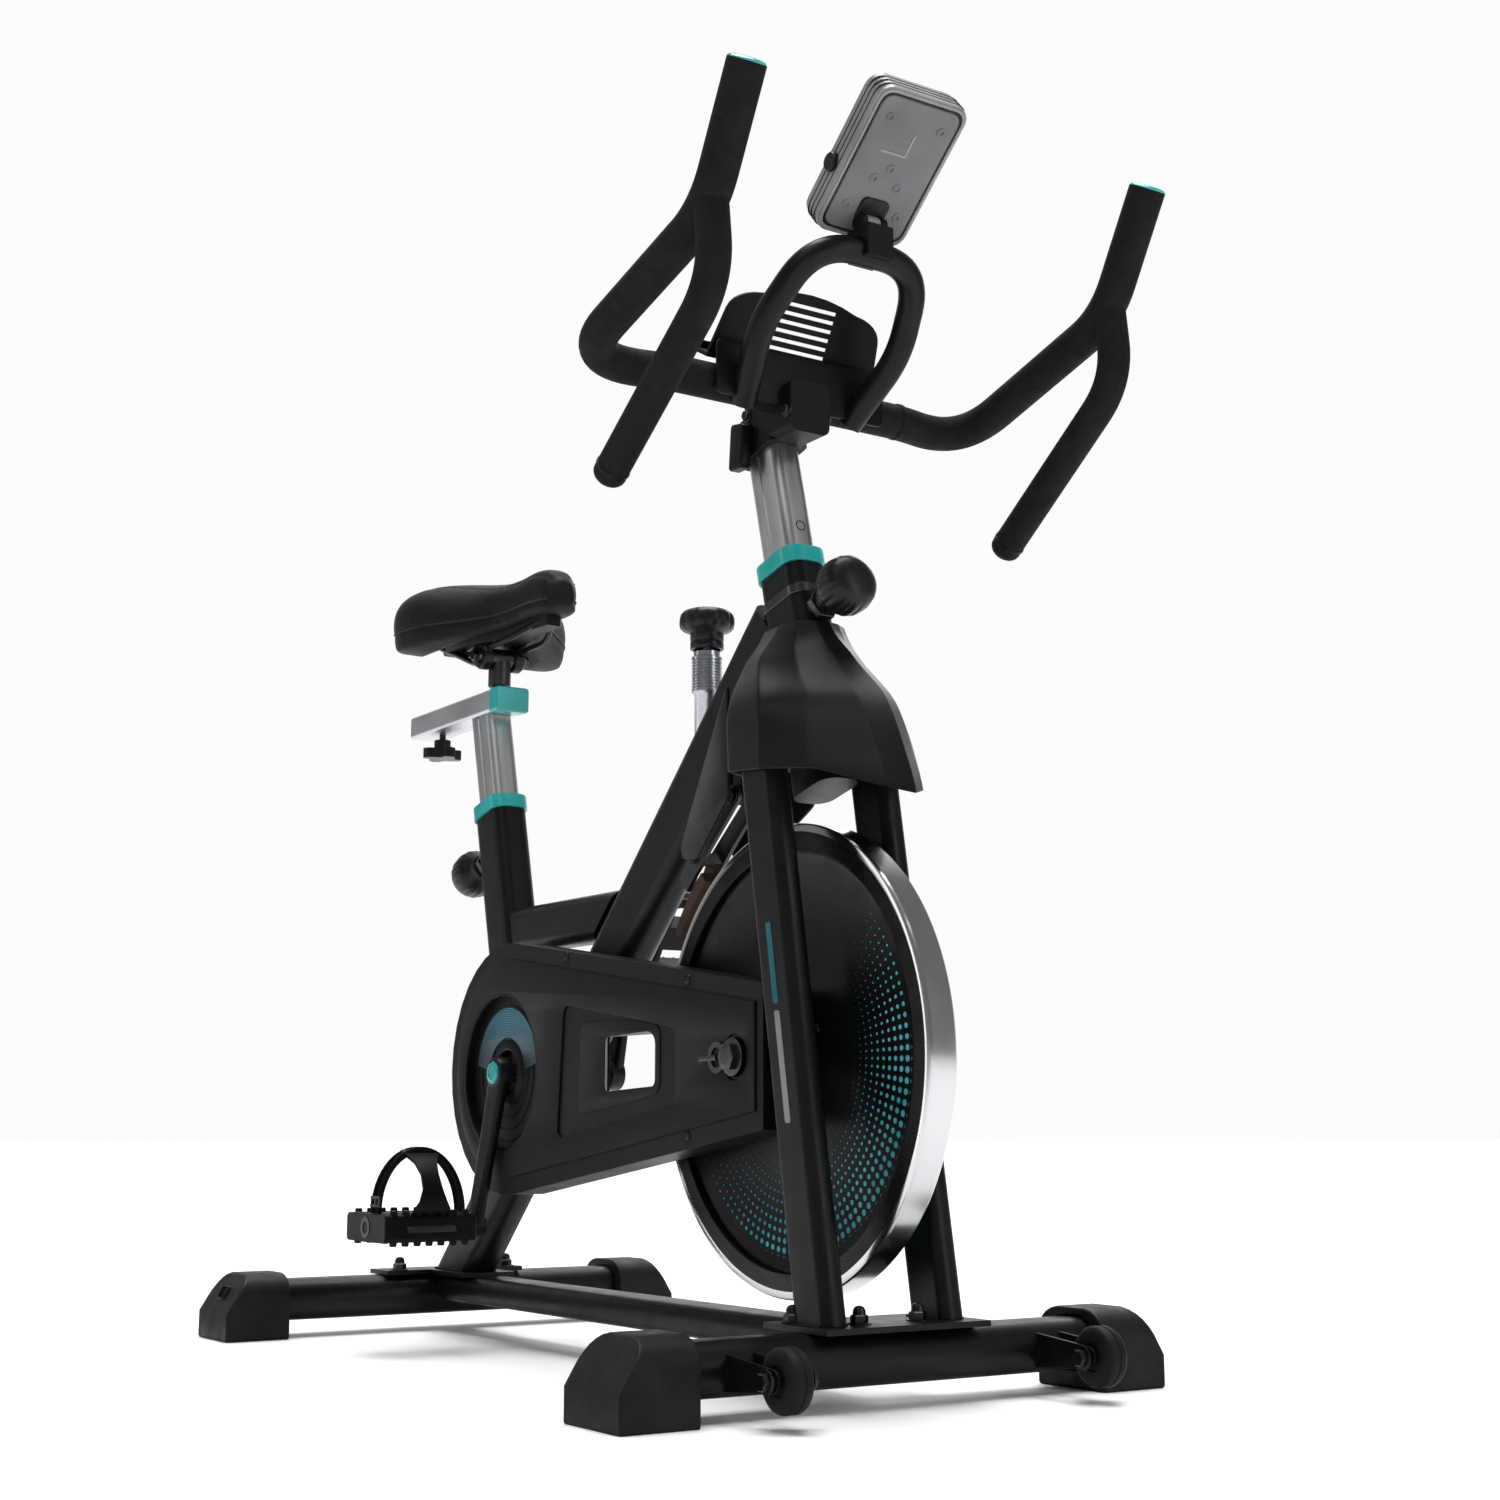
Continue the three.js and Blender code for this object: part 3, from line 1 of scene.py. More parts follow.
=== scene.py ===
"""The looks of the indoor cycling bike: finishes, rounded edges, grips, saddle and studio."""

import json
import math

import bmesh
import bpy
from mathutils import Matrix, Vector
from mathutils.bvhtree import BVHTree
from mathutils.kdtree import KDTree

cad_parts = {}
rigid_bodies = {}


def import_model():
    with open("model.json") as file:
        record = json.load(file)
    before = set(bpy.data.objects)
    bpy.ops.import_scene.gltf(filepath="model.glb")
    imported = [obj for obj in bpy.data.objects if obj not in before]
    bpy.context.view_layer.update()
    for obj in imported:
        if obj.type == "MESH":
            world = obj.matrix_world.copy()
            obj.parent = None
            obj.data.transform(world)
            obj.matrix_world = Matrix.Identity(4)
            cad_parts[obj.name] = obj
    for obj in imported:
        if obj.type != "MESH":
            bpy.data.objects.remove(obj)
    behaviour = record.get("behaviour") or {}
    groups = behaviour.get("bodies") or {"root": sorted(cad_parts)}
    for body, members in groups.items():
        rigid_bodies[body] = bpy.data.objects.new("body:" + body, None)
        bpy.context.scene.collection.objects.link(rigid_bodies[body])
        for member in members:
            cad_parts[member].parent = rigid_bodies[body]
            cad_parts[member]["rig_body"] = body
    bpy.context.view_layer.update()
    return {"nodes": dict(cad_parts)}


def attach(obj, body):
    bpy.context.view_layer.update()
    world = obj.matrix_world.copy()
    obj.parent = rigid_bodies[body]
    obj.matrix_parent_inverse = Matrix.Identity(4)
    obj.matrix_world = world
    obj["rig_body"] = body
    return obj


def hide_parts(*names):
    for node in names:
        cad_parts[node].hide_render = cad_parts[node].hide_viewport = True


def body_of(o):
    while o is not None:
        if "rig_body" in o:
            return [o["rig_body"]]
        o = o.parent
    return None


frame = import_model()

# Lengths below are in millimetres, with X counted from the back face of the rear feet.
MM = 0.001
SHIFT = 483.427
TURN = 2 * math.pi
SIDES = {1: "left", -1: "right"}


def at(x, y, z):
    return Vector(((x - SHIFT) * MM, y * MM, z * MM))


# ------------------------------------------------------------------ finishes
class Finish:
    """One procedural material on the Principled shader, read in the piece's own coordinates."""

    def __init__(self, name, colour, roughness, metallic=0.0, **sockets):
        self.material = bpy.data.materials.new(name)
        self.material.use_nodes = True
        self.tree = self.material.node_tree
        self.shader = self.tree.nodes["Principled BSDF"]
        self.shader.inputs["Base Color"].default_value = (*colour, 1)
        self.shader.inputs["Roughness"].default_value = roughness
        self.shader.inputs["Metallic"].default_value = metallic
        for socket, value in sockets.items():
            self.shader.inputs[socket.replace("_", " ")].default_value = value
        self.material.diffuse_color = (*colour, 1)
        self.place = self.tree.nodes.new("ShaderNodeTexCoord").outputs["Object"]
        self.normal = None

    def node(self, kind, **settings):
        made = self.tree.nodes.new(kind)
        for key, value in settings.items():
            setattr(made, key, value)
        return made

    def link(self, source, target):
        self.tree.links.new(source, target)

    def stretched(self, scale, turn=(0, 0, 0)):
        """The piece's coordinates, turned first and stretched afterwards."""
        turned, mapping = self.node("ShaderNodeMapping"), self.node("ShaderNodeMapping")
        turned.inputs["Rotation"].default_value = turn
        mapping.inputs["Scale"].default_value = scale
        self.link(self.place, turned.inputs["Vector"])
        self.link(turned.outputs["Vector"], mapping.inputs["Vector"])
        return mapping.outputs["Vector"]

    def noise(self, scale, detail=3.0, roughness=0.55, vector=None):
        noise = self.node("ShaderNodeTexNoise")
        noise.inputs["Scale"].default_value = scale
        noise.inputs["Detail"].default_value = detail
        noise.inputs["Roughness"].default_value = roughness
        self.link(vector or self.place, noise.inputs["Vector"])
        return noise.outputs["Fac"]

    def cells(self, scale, feature="F1"):
        cells = self.node("ShaderNodeTexVoronoi", feature=feature)
        cells.inputs["Scale"].default_value = scale
        self.link(self.place, cells.inputs["Vector"])
        return cells.outputs["Distance"]

    def spread(self, source, low, high, from_low=0.3, from_high=0.7):
        spread = self.node("ShaderNodeMapRange")
        names = ("From Min", "From Max", "To Min", "To Max")
        for name, value in zip(names, (from_low, from_high, low, high)):
            spread.inputs[name].default_value = value
        self.link(source, spread.inputs["Value"])
        return spread.outputs["Result"]

    def maths(self, operation, *values):
        made = self.node("ShaderNodeMath", operation=operation)
        for socket, value in zip(made.inputs, values):
            if isinstance(value, (int, float)):
                socket.default_value = value
            else:
                self.link(value, socket)
        return made.outputs[0]

    def mixed(self, source, low, high, from_low, from_high):
        mix = self.node("ShaderNodeMix", data_type="RGBA")
        mix.inputs["A"].default_value = (*low, 1)
        mix.inputs["B"].default_value = (*high, 1)
        self.link(self.spread(source, 0, 1, from_low, from_high), mix.inputs["Factor"])
        return mix

    def paint(self, source, low, high, from_low=0.3, from_high=0.7):
        """Colours the surface between two colours by a source."""
        mix = self.mixed(source, low, high, from_low, from_high)
        self.link(mix.outputs["Result"], self.shader.inputs["Base Color"])
        return mix

    def shine(self, source, low, high, from_low=0.3, from_high=0.7):
        self.link(
            self.spread(source, low, high, from_low, from_high), self.shader.inputs["Roughness"]
        )

    def bump(self, source, distance, strength):
        """Raises the surface by a source, on top of the bumps it already has."""
        bump = self.node("ShaderNodeBump")
        bump.inputs["Strength"].default_value = strength
        bump.inputs["Distance"].default_value = distance
        self.link(source, bump.inputs["Height"])
        if self.normal:
            self.link(self.normal, bump.inputs["Normal"])
        self.normal = bump.outputs["Normal"]
        self.link(self.normal, self.shader.inputs["Normal"])

    def about_axis(self, centre):
        """The height, and X, Z and the distance from an axis that runs along Y."""
        parts = self.node("ShaderNodeSeparateXYZ")
        self.link(self.place, parts.inputs[0])
        height = parts.outputs["Z"]
        x = self.maths("SUBTRACT", parts.outputs["X"], centre.x)
        z = self.maths("SUBTRACT", height, centre.z)
        square = self.maths("ADD", self.maths("MULTIPLY", x, x), self.maths("MULTIPLY", z, z))
        return height, x, z, self.maths("SQRT", square)


def shade(colour, factor):
    return tuple(min(1.0, channel * factor) for channel in colour)


def moulded(name, colour, roughness, grain=1300.0, depth=0.00012, gloss=0.15):
    """Injection-moulded plastic: a fine spark-eroded grain with faint flow marks."""
    made = Finish(name, colour, roughness, Specular_IOR_Level=gloss)
    flow = made.noise(14.0, 2.0)
    made.paint(flow, shade(colour, 0.82), shade(colour, 1.2))
    made.shine(flow, roughness - 0.06, roughness + 0.07)
    made.bump(made.noise(grain, 2.0), depth, 0.35)
    return made.material


def painted(name, colour, roughness=0.36):
    """Powder coat: a slight orange peel, scuffed and dusty in places."""
    made = Finish(name, colour, roughness, Specular_IOR_Level=0.16)
    made.paint(made.noise(9.0, 4.0), shade(colour, 0.8), shade(colour, 1.25))
    made.shine(made.noise(30.0, 4.0), roughness - 0.07, roughness + 0.1)
    made.bump(made.noise(520.0, 2.0), 0.00025, 0.3)
    made.bump(made.noise(2400.0, 1.0), 0.00006, 0.4)
    return made.material


def rubbery(name, colour, roughness=0.68):
    made = Finish(name, colour, roughness, Specular_IOR_Level=0.13)
    made.paint(made.noise(22.0, 5.0), shade(colour, 0.75), shade(colour, 1.5))
    made.shine(made.noise(60.0, 3.0), roughness - 0.1, roughness + 0.12)
    made.bump(made.noise(900.0, 3.0), 0.0002, 0.5)
    return made.material


def foamed(name, colour):
    """Closed-cell foam: a skin of small pits."""
    made = Finish(name, colour, 0.8, Specular_IOR_Level=0.12)
    made.paint(made.noise(35.0, 4.0), shade(colour, 0.8), shade(colour, 1.35))
    made.shine(made.noise(80.0, 3.0), 0.68, 0.88)
    made.bump(made.cells(950.0), 0.0004, 0.45)
    made.bump(made.noise(210.0, 3.0), 0.0006, 0.3)
    return made.material


def leathery(name, colour):
    """Synthetic leather: pebbled grain with fine creases."""
    made = Finish(name, colour, 0.44, Specular_IOR_Level=0.15)
    grain = made.cells(620.0, "DISTANCE_TO_EDGE")
    made.paint(made.noise(16.0, 4.0), shade(colour, 0.8), shade(colour, 1.4))
    made.shine(grain, 0.62, 0.42, 0.0, 0.25)
    made.bump(made.spread(grain, 0, 1, 0.0, 0.16), 0.00035, 0.55)
    made.bump(made.noise(160.0, 4.0), 0.0008, 0.25)
    return made.material


def metal(name, colour, roughness, stretch, fine=1.0, tilt=0.0, anisotropy=0.0):
    """Bare metal with fine lines drawn along the way it was worked."""
    made = Finish(name, colour, roughness, 1.0, Anisotropic=anisotropy)
    lines = made.noise(1.0, 3.0, 0.6, made.stretched(stretch, (0, tilt, 0)))
    made.paint(lines, shade(colour, 0.86), shade(colour, 1.08))
    made.shine(made.noise(18.0, 4.0), roughness - 0.05, roughness + 0.08)
    made.bump(lines, 0.00005 * fine, 0.5)
    return made.material


# The flywheel's and the crank's axes, as X and Z.
HUB = (754, 285)
CRANK = (302, 280)
WHEEL_HUB = at(HUB[0], 0, HUB[1])

BLACK = (0.004, 0.0041, 0.0044)
TEAL_BRIGHT = (0.012, 0.30, 0.285)
POST_TILT = math.radians(14)

PAINT = painted("frame_powder_coat", BLACK)
PLASTIC = moulded("moulded_black", (0.0042, 0.0042, 0.0045), 0.44, gloss=0.11)
HOOD_PLASTIC = moulded("hood_black", (0.0075, 0.0076, 0.008), 0.36, 900.0, 0.0001, 0.13)
KNOB_PLASTIC = moulded("knob_black", (0.0055, 0.0055, 0.0058), 0.36, 700.0, 0.0003, 0.22)
RUBBER = rubbery("foot_rubber", (0.007, 0.0071, 0.0075), 0.5)
TYRE = rubbery("wheel_rubber", (0.006, 0.006, 0.0063), 0.62)
BELT = rubbery("belt_rubber", (0.006, 0.006, 0.006), 0.6)
FOAM = foamed("grip_foam", (0.0062, 0.0063, 0.0066))
LEATHER = leathery("saddle_leather", (0.004, 0.004, 0.0042))
GREY_PLASTIC = moulded("display_silver", (0.2, 0.203, 0.206), 0.34, 1500.0, 0.00008, 0.4)
GREY_PLASTIC_DARK = moulded("display_silver_dark", (0.13, 0.132, 0.135), 0.38, 1500.0)
TRIM = rubbery("saddle_trim", (0.016, 0.016, 0.017), 0.5)
THREAD = rubbery("saddle_thread", (0.018, 0.018, 0.019), 0.7)
FELT = foamed("brake_felt", (0.05, 0.035, 0.026))
TEAL = moulded("teal_plastic", TEAL_BRIGHT, 0.22, 1500.0, 0.00006, 0.5)
SCREEN = moulded("screen_dark", (0.006, 0.011, 0.013), 0.12, 1500.0, 0.00001, 0.6)
SEGMENTS = moulded("screen_segments", (0.16, 0.2, 0.19), 0.3)
ALUMINIUM = metal("post_aluminium", (0.42, 0.425, 0.43), 0.36, (1100, 1100, 9), 0.4, POST_TILT, 0.2)
RAIL_METAL = metal("rail_aluminium", (0.5, 0.505, 0.515), 0.36, (9, 1100, 1100), 0.4, 0.0, 0.2)
STEEL = metal("turned_steel", (0.42, 0.43, 0.45), 0.3, (260, 260, 1400), 1.2)
DARK_STEEL = metal("blackened_steel", (0.06, 0.061, 0.065), 0.38, (400, 400, 400), 1.0)
BOLT = metal("black_oxide_bolt", (0.035, 0.036, 0.038), 0.34, (700, 700, 700), 1.0)

def chrome_rim():
    made = Finish("rim_chrome", (0.6, 0.605, 0.61), 0.16, 1.0)
    *_, radius = made.about_axis(WHEEL_HUB)
    rings = made.node("ShaderNodeCombineXYZ")
    made.link(made.maths("MULTIPLY", radius, 2200.0), rings.inputs[0])
    polish = made.noise(1.0, 3.0, 0.6, rings.outputs[0])
    made.shine(made.noise(14.0, 3.0), 0.12, 0.22)
    made.paint(polish, (0.5, 0.505, 0.51), (0.62, 0.625, 0.63))
    made.bump(polish, 0.000012, 0.5)
    return made.material


# The printed dots: their pitch and the rings they fill in metres, how many go round, and
# the largest radius in pitches. The fan is a cosine that fades out between two values.
DOT_PITCH = 0.0082
DOT_OUTER = 0.174
DOT_INNER = 0.086
DOTS_AROUND = 116.0
DOT_LARGEST = 0.36
FAN_FADE = (-0.25, 0.7)
FAN_EDGE = 0.12
DOT_COLOURS = ((0.02, 0.2, 0.26), (0.1, 0.5, 0.54))
DOT_CENTRE = math.radians(50)


def dotted_disc():
    """Painted casting with two fans of printed dots that grow towards the rim."""
    colour = (0.0045, 0.0046, 0.005)
    made = Finish("disc_black", colour, 0.34, 0.0, Specular_IOR_Level=0.13)
    made.shine(made.noise(25.0, 3.0), 0.28, 0.42)
    made.bump(made.noise(420.0, 2.0), 0.00025, 0.3)
    _, x, z, radius = made.about_axis(WHEEL_HUB)
    angle = made.maths("ARCTAN2", z, x)
    ring = made.maths("DIVIDE", radius, DOT_PITCH)
    turn = made.maths("MULTIPLY", angle, DOTS_AROUND / TURN)
    across = made.maths("SUBTRACT", made.maths("FRACT", ring), 0.5)
    along = made.maths("SUBTRACT", made.maths("FRACT", turn), 0.5)
    stretch = made.maths("MULTIPLY", radius, TURN / DOTS_AROUND / DOT_PITCH)
    along = made.maths("MULTIPLY", along, stretch)
    squares = [made.maths("POWER", value, 2.0) for value in (across, along)]
    reach = made.maths("SQRT", made.maths("ADD", *squares))
    outward = made.spread(radius, 0.0, 1.0, DOT_INNER, DOT_OUTER)
    aside = made.maths("COSINE", made.maths("ADD", angle, DOT_CENTRE))
    fan = made.spread(aside, 0.0, 1.0, *FAN_FADE)
    size = made.maths("MULTIPLY", made.maths("MULTIPLY", outward, fan), DOT_LARGEST)
    inside = made.maths("LESS_THAN", reach, size)
    within = made.maths("LESS_THAN", radius, DOT_OUTER)
    zone = made.maths("MULTIPLY", within, made.maths("GREATER_THAN", fan, FAN_EDGE))
    dots = made.maths("MULTIPLY", inside, zone)
    tint = made.mixed(made.noise(9.0), *DOT_COLOURS, 0.4, 0.62)
    mix = made.paint(dots, colour, colour, 0.0, 1.0)
    made.link(tint.outputs["Result"], mix.inputs["B"])
    return made.material


def faded_teal():
    """The dish's printed crescent: teal at its crown, fading to black, over turned grooves."""
    made = Finish("teal_faded", (0.015, 0.09, 0.125), 0.34, Specular_IOR_Level=0.4)
    height, _, _, reach = made.about_axis(at(CRANK[0], 0, CRANK[1]))
    made.paint(height, (0.005, 0.006, 0.007), (0.02, 0.115, 0.155), 0.286, 0.335)
    grooves = made.maths("SINE", made.maths("MULTIPLY", reach, 2600.0))
    made.bump(grooves, 0.0002, 0.5)
    return made.material


CHROME = chrome_rim()
RIM_BLACK = painted("rim_black", BLACK, 0.26)
DISC = dotted_disc()
TEAL_DEEP = faded_teal()
REFLECTOR = moulded("reflector_smoke", (0.03, 0.03, 0.032), 0.15, 300.0, 0.0004)
TEAL_DEEP_FLAT = moulded("stripe_teal", (0.01, 0.09, 0.11), 0.4, 1500.0, 0.00002)
BAND = moulded("band_gloss", (0.02, 0.02, 0.021), 0.24, 1500.0, 0.00002, 0.5)
STRIPE_GREY = moulded("stripe_grey", (0.2, 0.2, 0.205), 0.45, 1500.0, 0.00002)


# ------------------------------------------------------------------ meshes
def mesh_of(bm, name, sharp_from=38):
    bmesh.ops.recalc_face_normals(bm, faces=bm.faces)
    mesh = bpy.data.meshes.new(name)
    bm.to_mesh(mesh)
    bm.free()
    mesh.shade_smooth()
    mesh.set_sharp_from_angle(angle=math.radians(sharp_from))
    return mesh


def add(name, mesh, body, material, stands_for=()):
    """Puts a mesh in the scene, riding on a body, and hides the CAD nodes it stands for."""
    mesh.materials.clear()
    mesh.materials.append(material)
    made = bpy.data.objects.new(name, mesh)
    bpy.context.scene.collection.objects.link(made)
    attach(made, body)
    if stands_for:
        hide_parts(*stands_for)
    return made


def skin(bm, rings, closed=False):
    """Quads between one ring of corners and the next, and from the last to the first if closed."""
    for low, high in zip(rings, rings[1:] + (rings[:1] if closed else [])):
        for k in range(len(low)):
            j = (k + 1) % len(low)
            bm.faces.new((low[k], low[j], high[j], high[k]))


def revolve(bm, profile, place=Matrix.Identity(4), sides=64, closed=False):
    """Turns [(radius, height), ...] in millimetres round the place's Z axis."""
    rings = []
    for radius, height in profile:
        if radius < 1e-6:
            rings.append([bm.verts.new(place @ Vector((0, 0, height * MM)))])
            continue
        angles = [TURN * i / sides for i in range(sides)]
        size = radius * MM
        ring = [Vector((size * math.cos(a), size * math.sin(a), height * MM)) for a in angles]
        rings.append([bm.verts.new(place @ point) for point in ring])
    pairs = list(zip(rings, rings[1:]))
    if closed:
        pairs.append((rings[-1], rings[0]))
    for low, high in pairs:
        for i in range(sides):
            j = (i + 1) % sides
            corners = [
                low[i % len(low)], low[j % len(low)], high[j % len(high)], high[i % len(high)]
            ]
            unique = list(dict.fromkeys(corners))
            if len(unique) > 2:
                bm.faces.new(unique)
    return bm


def mirrored(half):
    """A profile followed by its own mirror image."""
    return half + [(radius, -height) for radius, height in reversed(half)]


def turned(name, profile, place, sides, body, material, stands_for=(), sharp_from=32, closed=False):
    """One piece turned from a single profile."""
    bm = revolve(bmesh.new(), profile, place, sides, closed)
    return add(name, mesh_of(bm, name, sharp_from), body, material, stands_for)


def facing(origin, direction, up=Vector((0, 0, 1))):
    """A place whose Z axis points along a direction."""
    z = direction.normalized()
    side = up.cross(z) if abs(up.dot(z)) < 0.98 else Vector((0, 1, 0)).cross(z)
    x = side.normalized()
    return Matrix.Translation(origin) @ Matrix((x, z.cross(x), z)).transposed().to_4x4()


def sideways(x, y, z, side):
    """A place whose Z axis points to the left, or to the right if side is -1."""
    return facing(at(x, y, z), Vector((0, side, 0)))


def softened(points, corners, steps=10):
    """Straight stretches joined by rounded corners, as millimetre triples."""
    points = [Vector(p) for p in points]
    path = [points[0]]
    for i in range(1, len(points) - 1):
        here = points[i]
        back = here + (points[i - 1] - here).normalized() * corners[i - 1]
        ahead = here + (points[i + 1] - here).normalized() * corners[i - 1]
        for k in range(steps + 1):
            t = k / steps
            path.append(back * (1 - t) ** 2 + here * 2 * t * (1 - t) + ahead * t * t)
    path.append(points[-1])
    return [at(*p) for p in path]


def sweep(bm, path, radius, sides=28, squash=1.0, closed=False):
    """A round bar along a path: one radius in millimetres, or a list with one for each point."""
    radii = radius if isinstance(radius, list) else [radius] * len(path)
    last = len(path) - 1
    tangents = []
    for i in range(last + 1):
        if closed:
            before, after = path[i - 1], path[(i + 1) % (last + 1)]
        else:
            before, after = path[max(i - 1, 0)], path[min(i + 1, last)]
        tangents.append((after - before).normalized())
    side = tangents[0].orthogonal().normalized()
    if abs(tangents[0].y) < 0.9:
        side = Vector((0, 1, 0)).cross(tangents[0]).normalized()
    rings = []
    for point, tangent, size in zip(path, tangents, radii):
        side = (side - tangent * side.dot(tangent)).normalized()
        up = tangent.cross(side)
        ring = []
        for k in range(sides):
            a = TURN * k / sides
            out = side * math.cos(a) * squash + up * math.sin(a)
            ring.append(bm.verts.new(point + out * size * MM))
        rings.append(ring)
    skin(bm, rings, closed)
    if not closed:
        bm.faces.new(list(reversed(rings[0])))
        bm.faces.new(rings[-1])
    return bm


def swept(name, path, radius, sides, body, material, stands_for):
    """One piece that is a single bar."""
    mesh = mesh_of(sweep(bmesh.new(), path, radius, sides), name)
    return add(name, mesh, body, material, (stands_for,))


def domed(path, radius, reach, steps=6):
    """The path and radii of a bar whose far end is rounded off over a reach in millimetres."""
    end = path[-1]
    back = (path[-2] - end).normalized()
    kept = [p for p in path if (p - end).length > reach * MM]
    radii = [radius] * len(kept)
    for k in range(steps + 1):
        angle = math.pi / 2 * k / steps
        kept.append(end + back * reach * MM * (1 - math.sin(angle)))
        radii.append(max(radius * (0.25 + 0.75 * math.cos(angle)), 0.4))
    return kept, radii


def round_edges(bm, edges, width, segments):
    bmesh.ops.bevel(
        bm,
        geom=edges,
        offset=width * MM,
        segments=segments,
        profile=0.6,
        affect="EDGES",
        clamp_overlap=True,
    )


# How close corners of a CAD mesh are joined before its edges are rounded, in metres.
WELD = 0.00004


def rounded_copy(node, width, material, sharp=30, segments=2):
    """The node's own shape with its sharp edges rounded over, shown in its place."""
    source = frame["nodes"][node]
    bm = bmesh.new()
    bm.from_mesh(source.data)
    bmesh.ops.remove_doubles(bm, verts=bm.verts, dist=WELD)
    bmesh.ops.dissolve_degenerate(bm, edges=bm.edges, dist=WELD)
    bmesh.ops.dissolve_limit(bm, angle_limit=math.radians(1.5), verts=bm.verts, edges=bm.edges)
    limit = math.radians(sharp)
    edges = [e for e in bm.edges if len(e.link_faces) == 2 and e.calc_face_angle() > limit]
    if width > 0:
        round_edges(bm, edges, width, segments)
    name = node + "_skin"
    piece = add(name, mesh_of(bm, name), body_of(source)[0], material, (node,))
    modifier = piece.modifiers.new("face weights", "WEIGHTED_NORMAL")
    modifier.keep_sharp = True
    return piece


def recolour(node, material):
    """Keeps the node's own mesh and gives it a finish."""
    mesh = frame["nodes"][node].data
    mesh.materials.clear()
    mesh.materials.append(material)


def plate_mesh(name, loops, thickness, bevel):
    """A flat plate with holes and rounded edges, from closed loops in metres."""
    curve = bpy.data.curves.new(name, "CURVE")
    curve.dimensions = "2D"
    curve.fill_mode = "BOTH"
    curve.extrude = thickness * MM / 2 - bevel * MM
    curve.bevel_depth = bevel * MM
    curve.bevel_resolution = 2
    curve.offset = -bevel * MM
    for loop in loops:
        spline = curve.splines.new("POLY")
        spline.points.add(len(loop) - 1)
        for point, (x, y) in zip(spline.points, loop):
            point.co = (x, y, 0, 1)
        spline.use_cyclic_u = True
    holder = bpy.data.objects.new(name, curve)
    bpy.context.scene.collection.objects.link(holder)
    graph = bpy.context.evaluated_depsgraph_get()
    mesh = bpy.data.meshes.new_from_object(holder.evaluated_get(graph))
    bpy.data.objects.remove(holder)
    mesh.name = name
    bm = bmesh.new()
    bm.from_mesh(mesh)
    bmesh.ops.remove_doubles(bm, verts=bm.verts, dist=0.00001)
    bmesh.ops.recalc_face_normals(bm, faces=bm.faces)
    bm.to_mesh(mesh)
    bm.free()
    mesh.shade_smooth()
    mesh.set_sharp_from_angle(angle=math.radians(35))
    return mesh


# UPRIGHT lays a plate's X and Y along the bike's X and Z, and ACROSS along its Y and Z.
UPRIGHT = Matrix(((1, 0, 0), (0, 0, 1), (0, 1, 0))).to_4x4()
ACROSS = Matrix(((0, 0, 1), (1, 0, 0), (0, 1, 0))).to_4x4()


def side_plate(name, loops, y, thickness, body, material, bevel=0.4):
    """A plate standing in X and Z at a distance y to the side, its loops in millimetres."""
    metres = [[((x - SHIFT) * MM, z * MM) for x, z in loop] for loop in loops]
    mesh = plate_mesh(name, metres, thickness, bevel)
    mesh.transform(Matrix.Translation((0, y * MM, 0)) @ UPRIGHT)
    mesh.flip_normals()
    return add(name, mesh, body, material)


def arc(x, z, radius, start, end, steps=48):
    angles = [start + (end - start) * i / steps for i in range(steps + 1)]
    return [(x + radius * math.cos(a), z + radius * math.sin(a)) for a in angles]


def circle(x, z, radius, steps=64):
    return arc(x, z, radius, 0, TURN * (steps - 1) / steps, steps - 1)


def rounded_loop(points, corner, steps=5):
    """A closed outline with its corners rounded."""
    loop = []
    count = len(points)
    for i, here in enumerate(points):
        here = Vector(here)
        before, after = Vector(points[i - 1]), Vector(points[(i + 1) % count])
        back = here + (before - here).normalized() * min(corner, (before - here).length * 0.45)
        ahead = here + (after - here).normalized() * min(corner, (after - here).length * 0.45)
        for k in range(steps + 1):
            t = k / steps
            point = back * (1 - t) ** 2 + here * 2 * t * (1 - t) + ahead * t * t
            loop.append((point.x, point.y))
    return loop


def slab(half_width, low, high, corner):
    """An upright rectangle with rounded corners."""
    corners = [(-half_width, low), (half_width, low), (half_width, high), (-half_width, high)]
    return rounded_loop(corners, corner, 8)


# ------------------------------------------------------------------ fasteners
def hex_bolt(bm, place, across, height):
    """A hexagon head on a washer, chamfered on top."""
    radius = across / math.sqrt(3)
    washer = [(0, 0), (radius * 1.32, 0), (radius * 1.32, 1.0), (radius * 1.22, 1.3), (0, 1.3)]
    revolve(bm, washer, place, 32)
    profile = [
        (0, 1.3), (radius, 1.3), (radius, height - 0.9), (radius * 0.86, height),
        (radius * 0.5, height), (0, height - 0.3),
    ]
    revolve(bm, profile, place, 6)


def dome_bolt(bm, place, radius, height):
    """A button head with a hexagon socket."""
    rim = [(radius * 1.35, 0), (radius * 1.35, 0.9), (radius * 1.25, 1.1), (radius, 1.1)]
    dome = [(radius * math.cos(a), 1.1 + height * math.sin(a)) for a in (0.15, 0.5, 0.85, 1.15)]
    socket = [
        (radius * 0.34, 1.1 + height * 0.99), (radius * 0.32, 1.1 + height * 0.35),
        (0, 1.1 + height * 0.35),
    ]
    revolve(bm, [(0, 0), *rim, *dome, *socket], place, 24)


def cross_screw(bm, place, radius):
    """A small countersunk screw with a shallow dished head."""
    profile = [
        (0, 0), (radius, 0), (radius, 0.5), (radius * 0.86, 1.0), (radius * 0.4, 1.15),
        (radius * 0.36, 0.4), (0, 0.2),
    ]
    revolve(bm, profile, place, 20)


def group(name, body, material, sharp_from=32):
    """A mesh being made of several small pieces: call the result to finish it."""
    bm = bmesh.new()

    def done():
        return add(name, mesh_of(bm, name, sharp_from), body, material)

    return bm, done


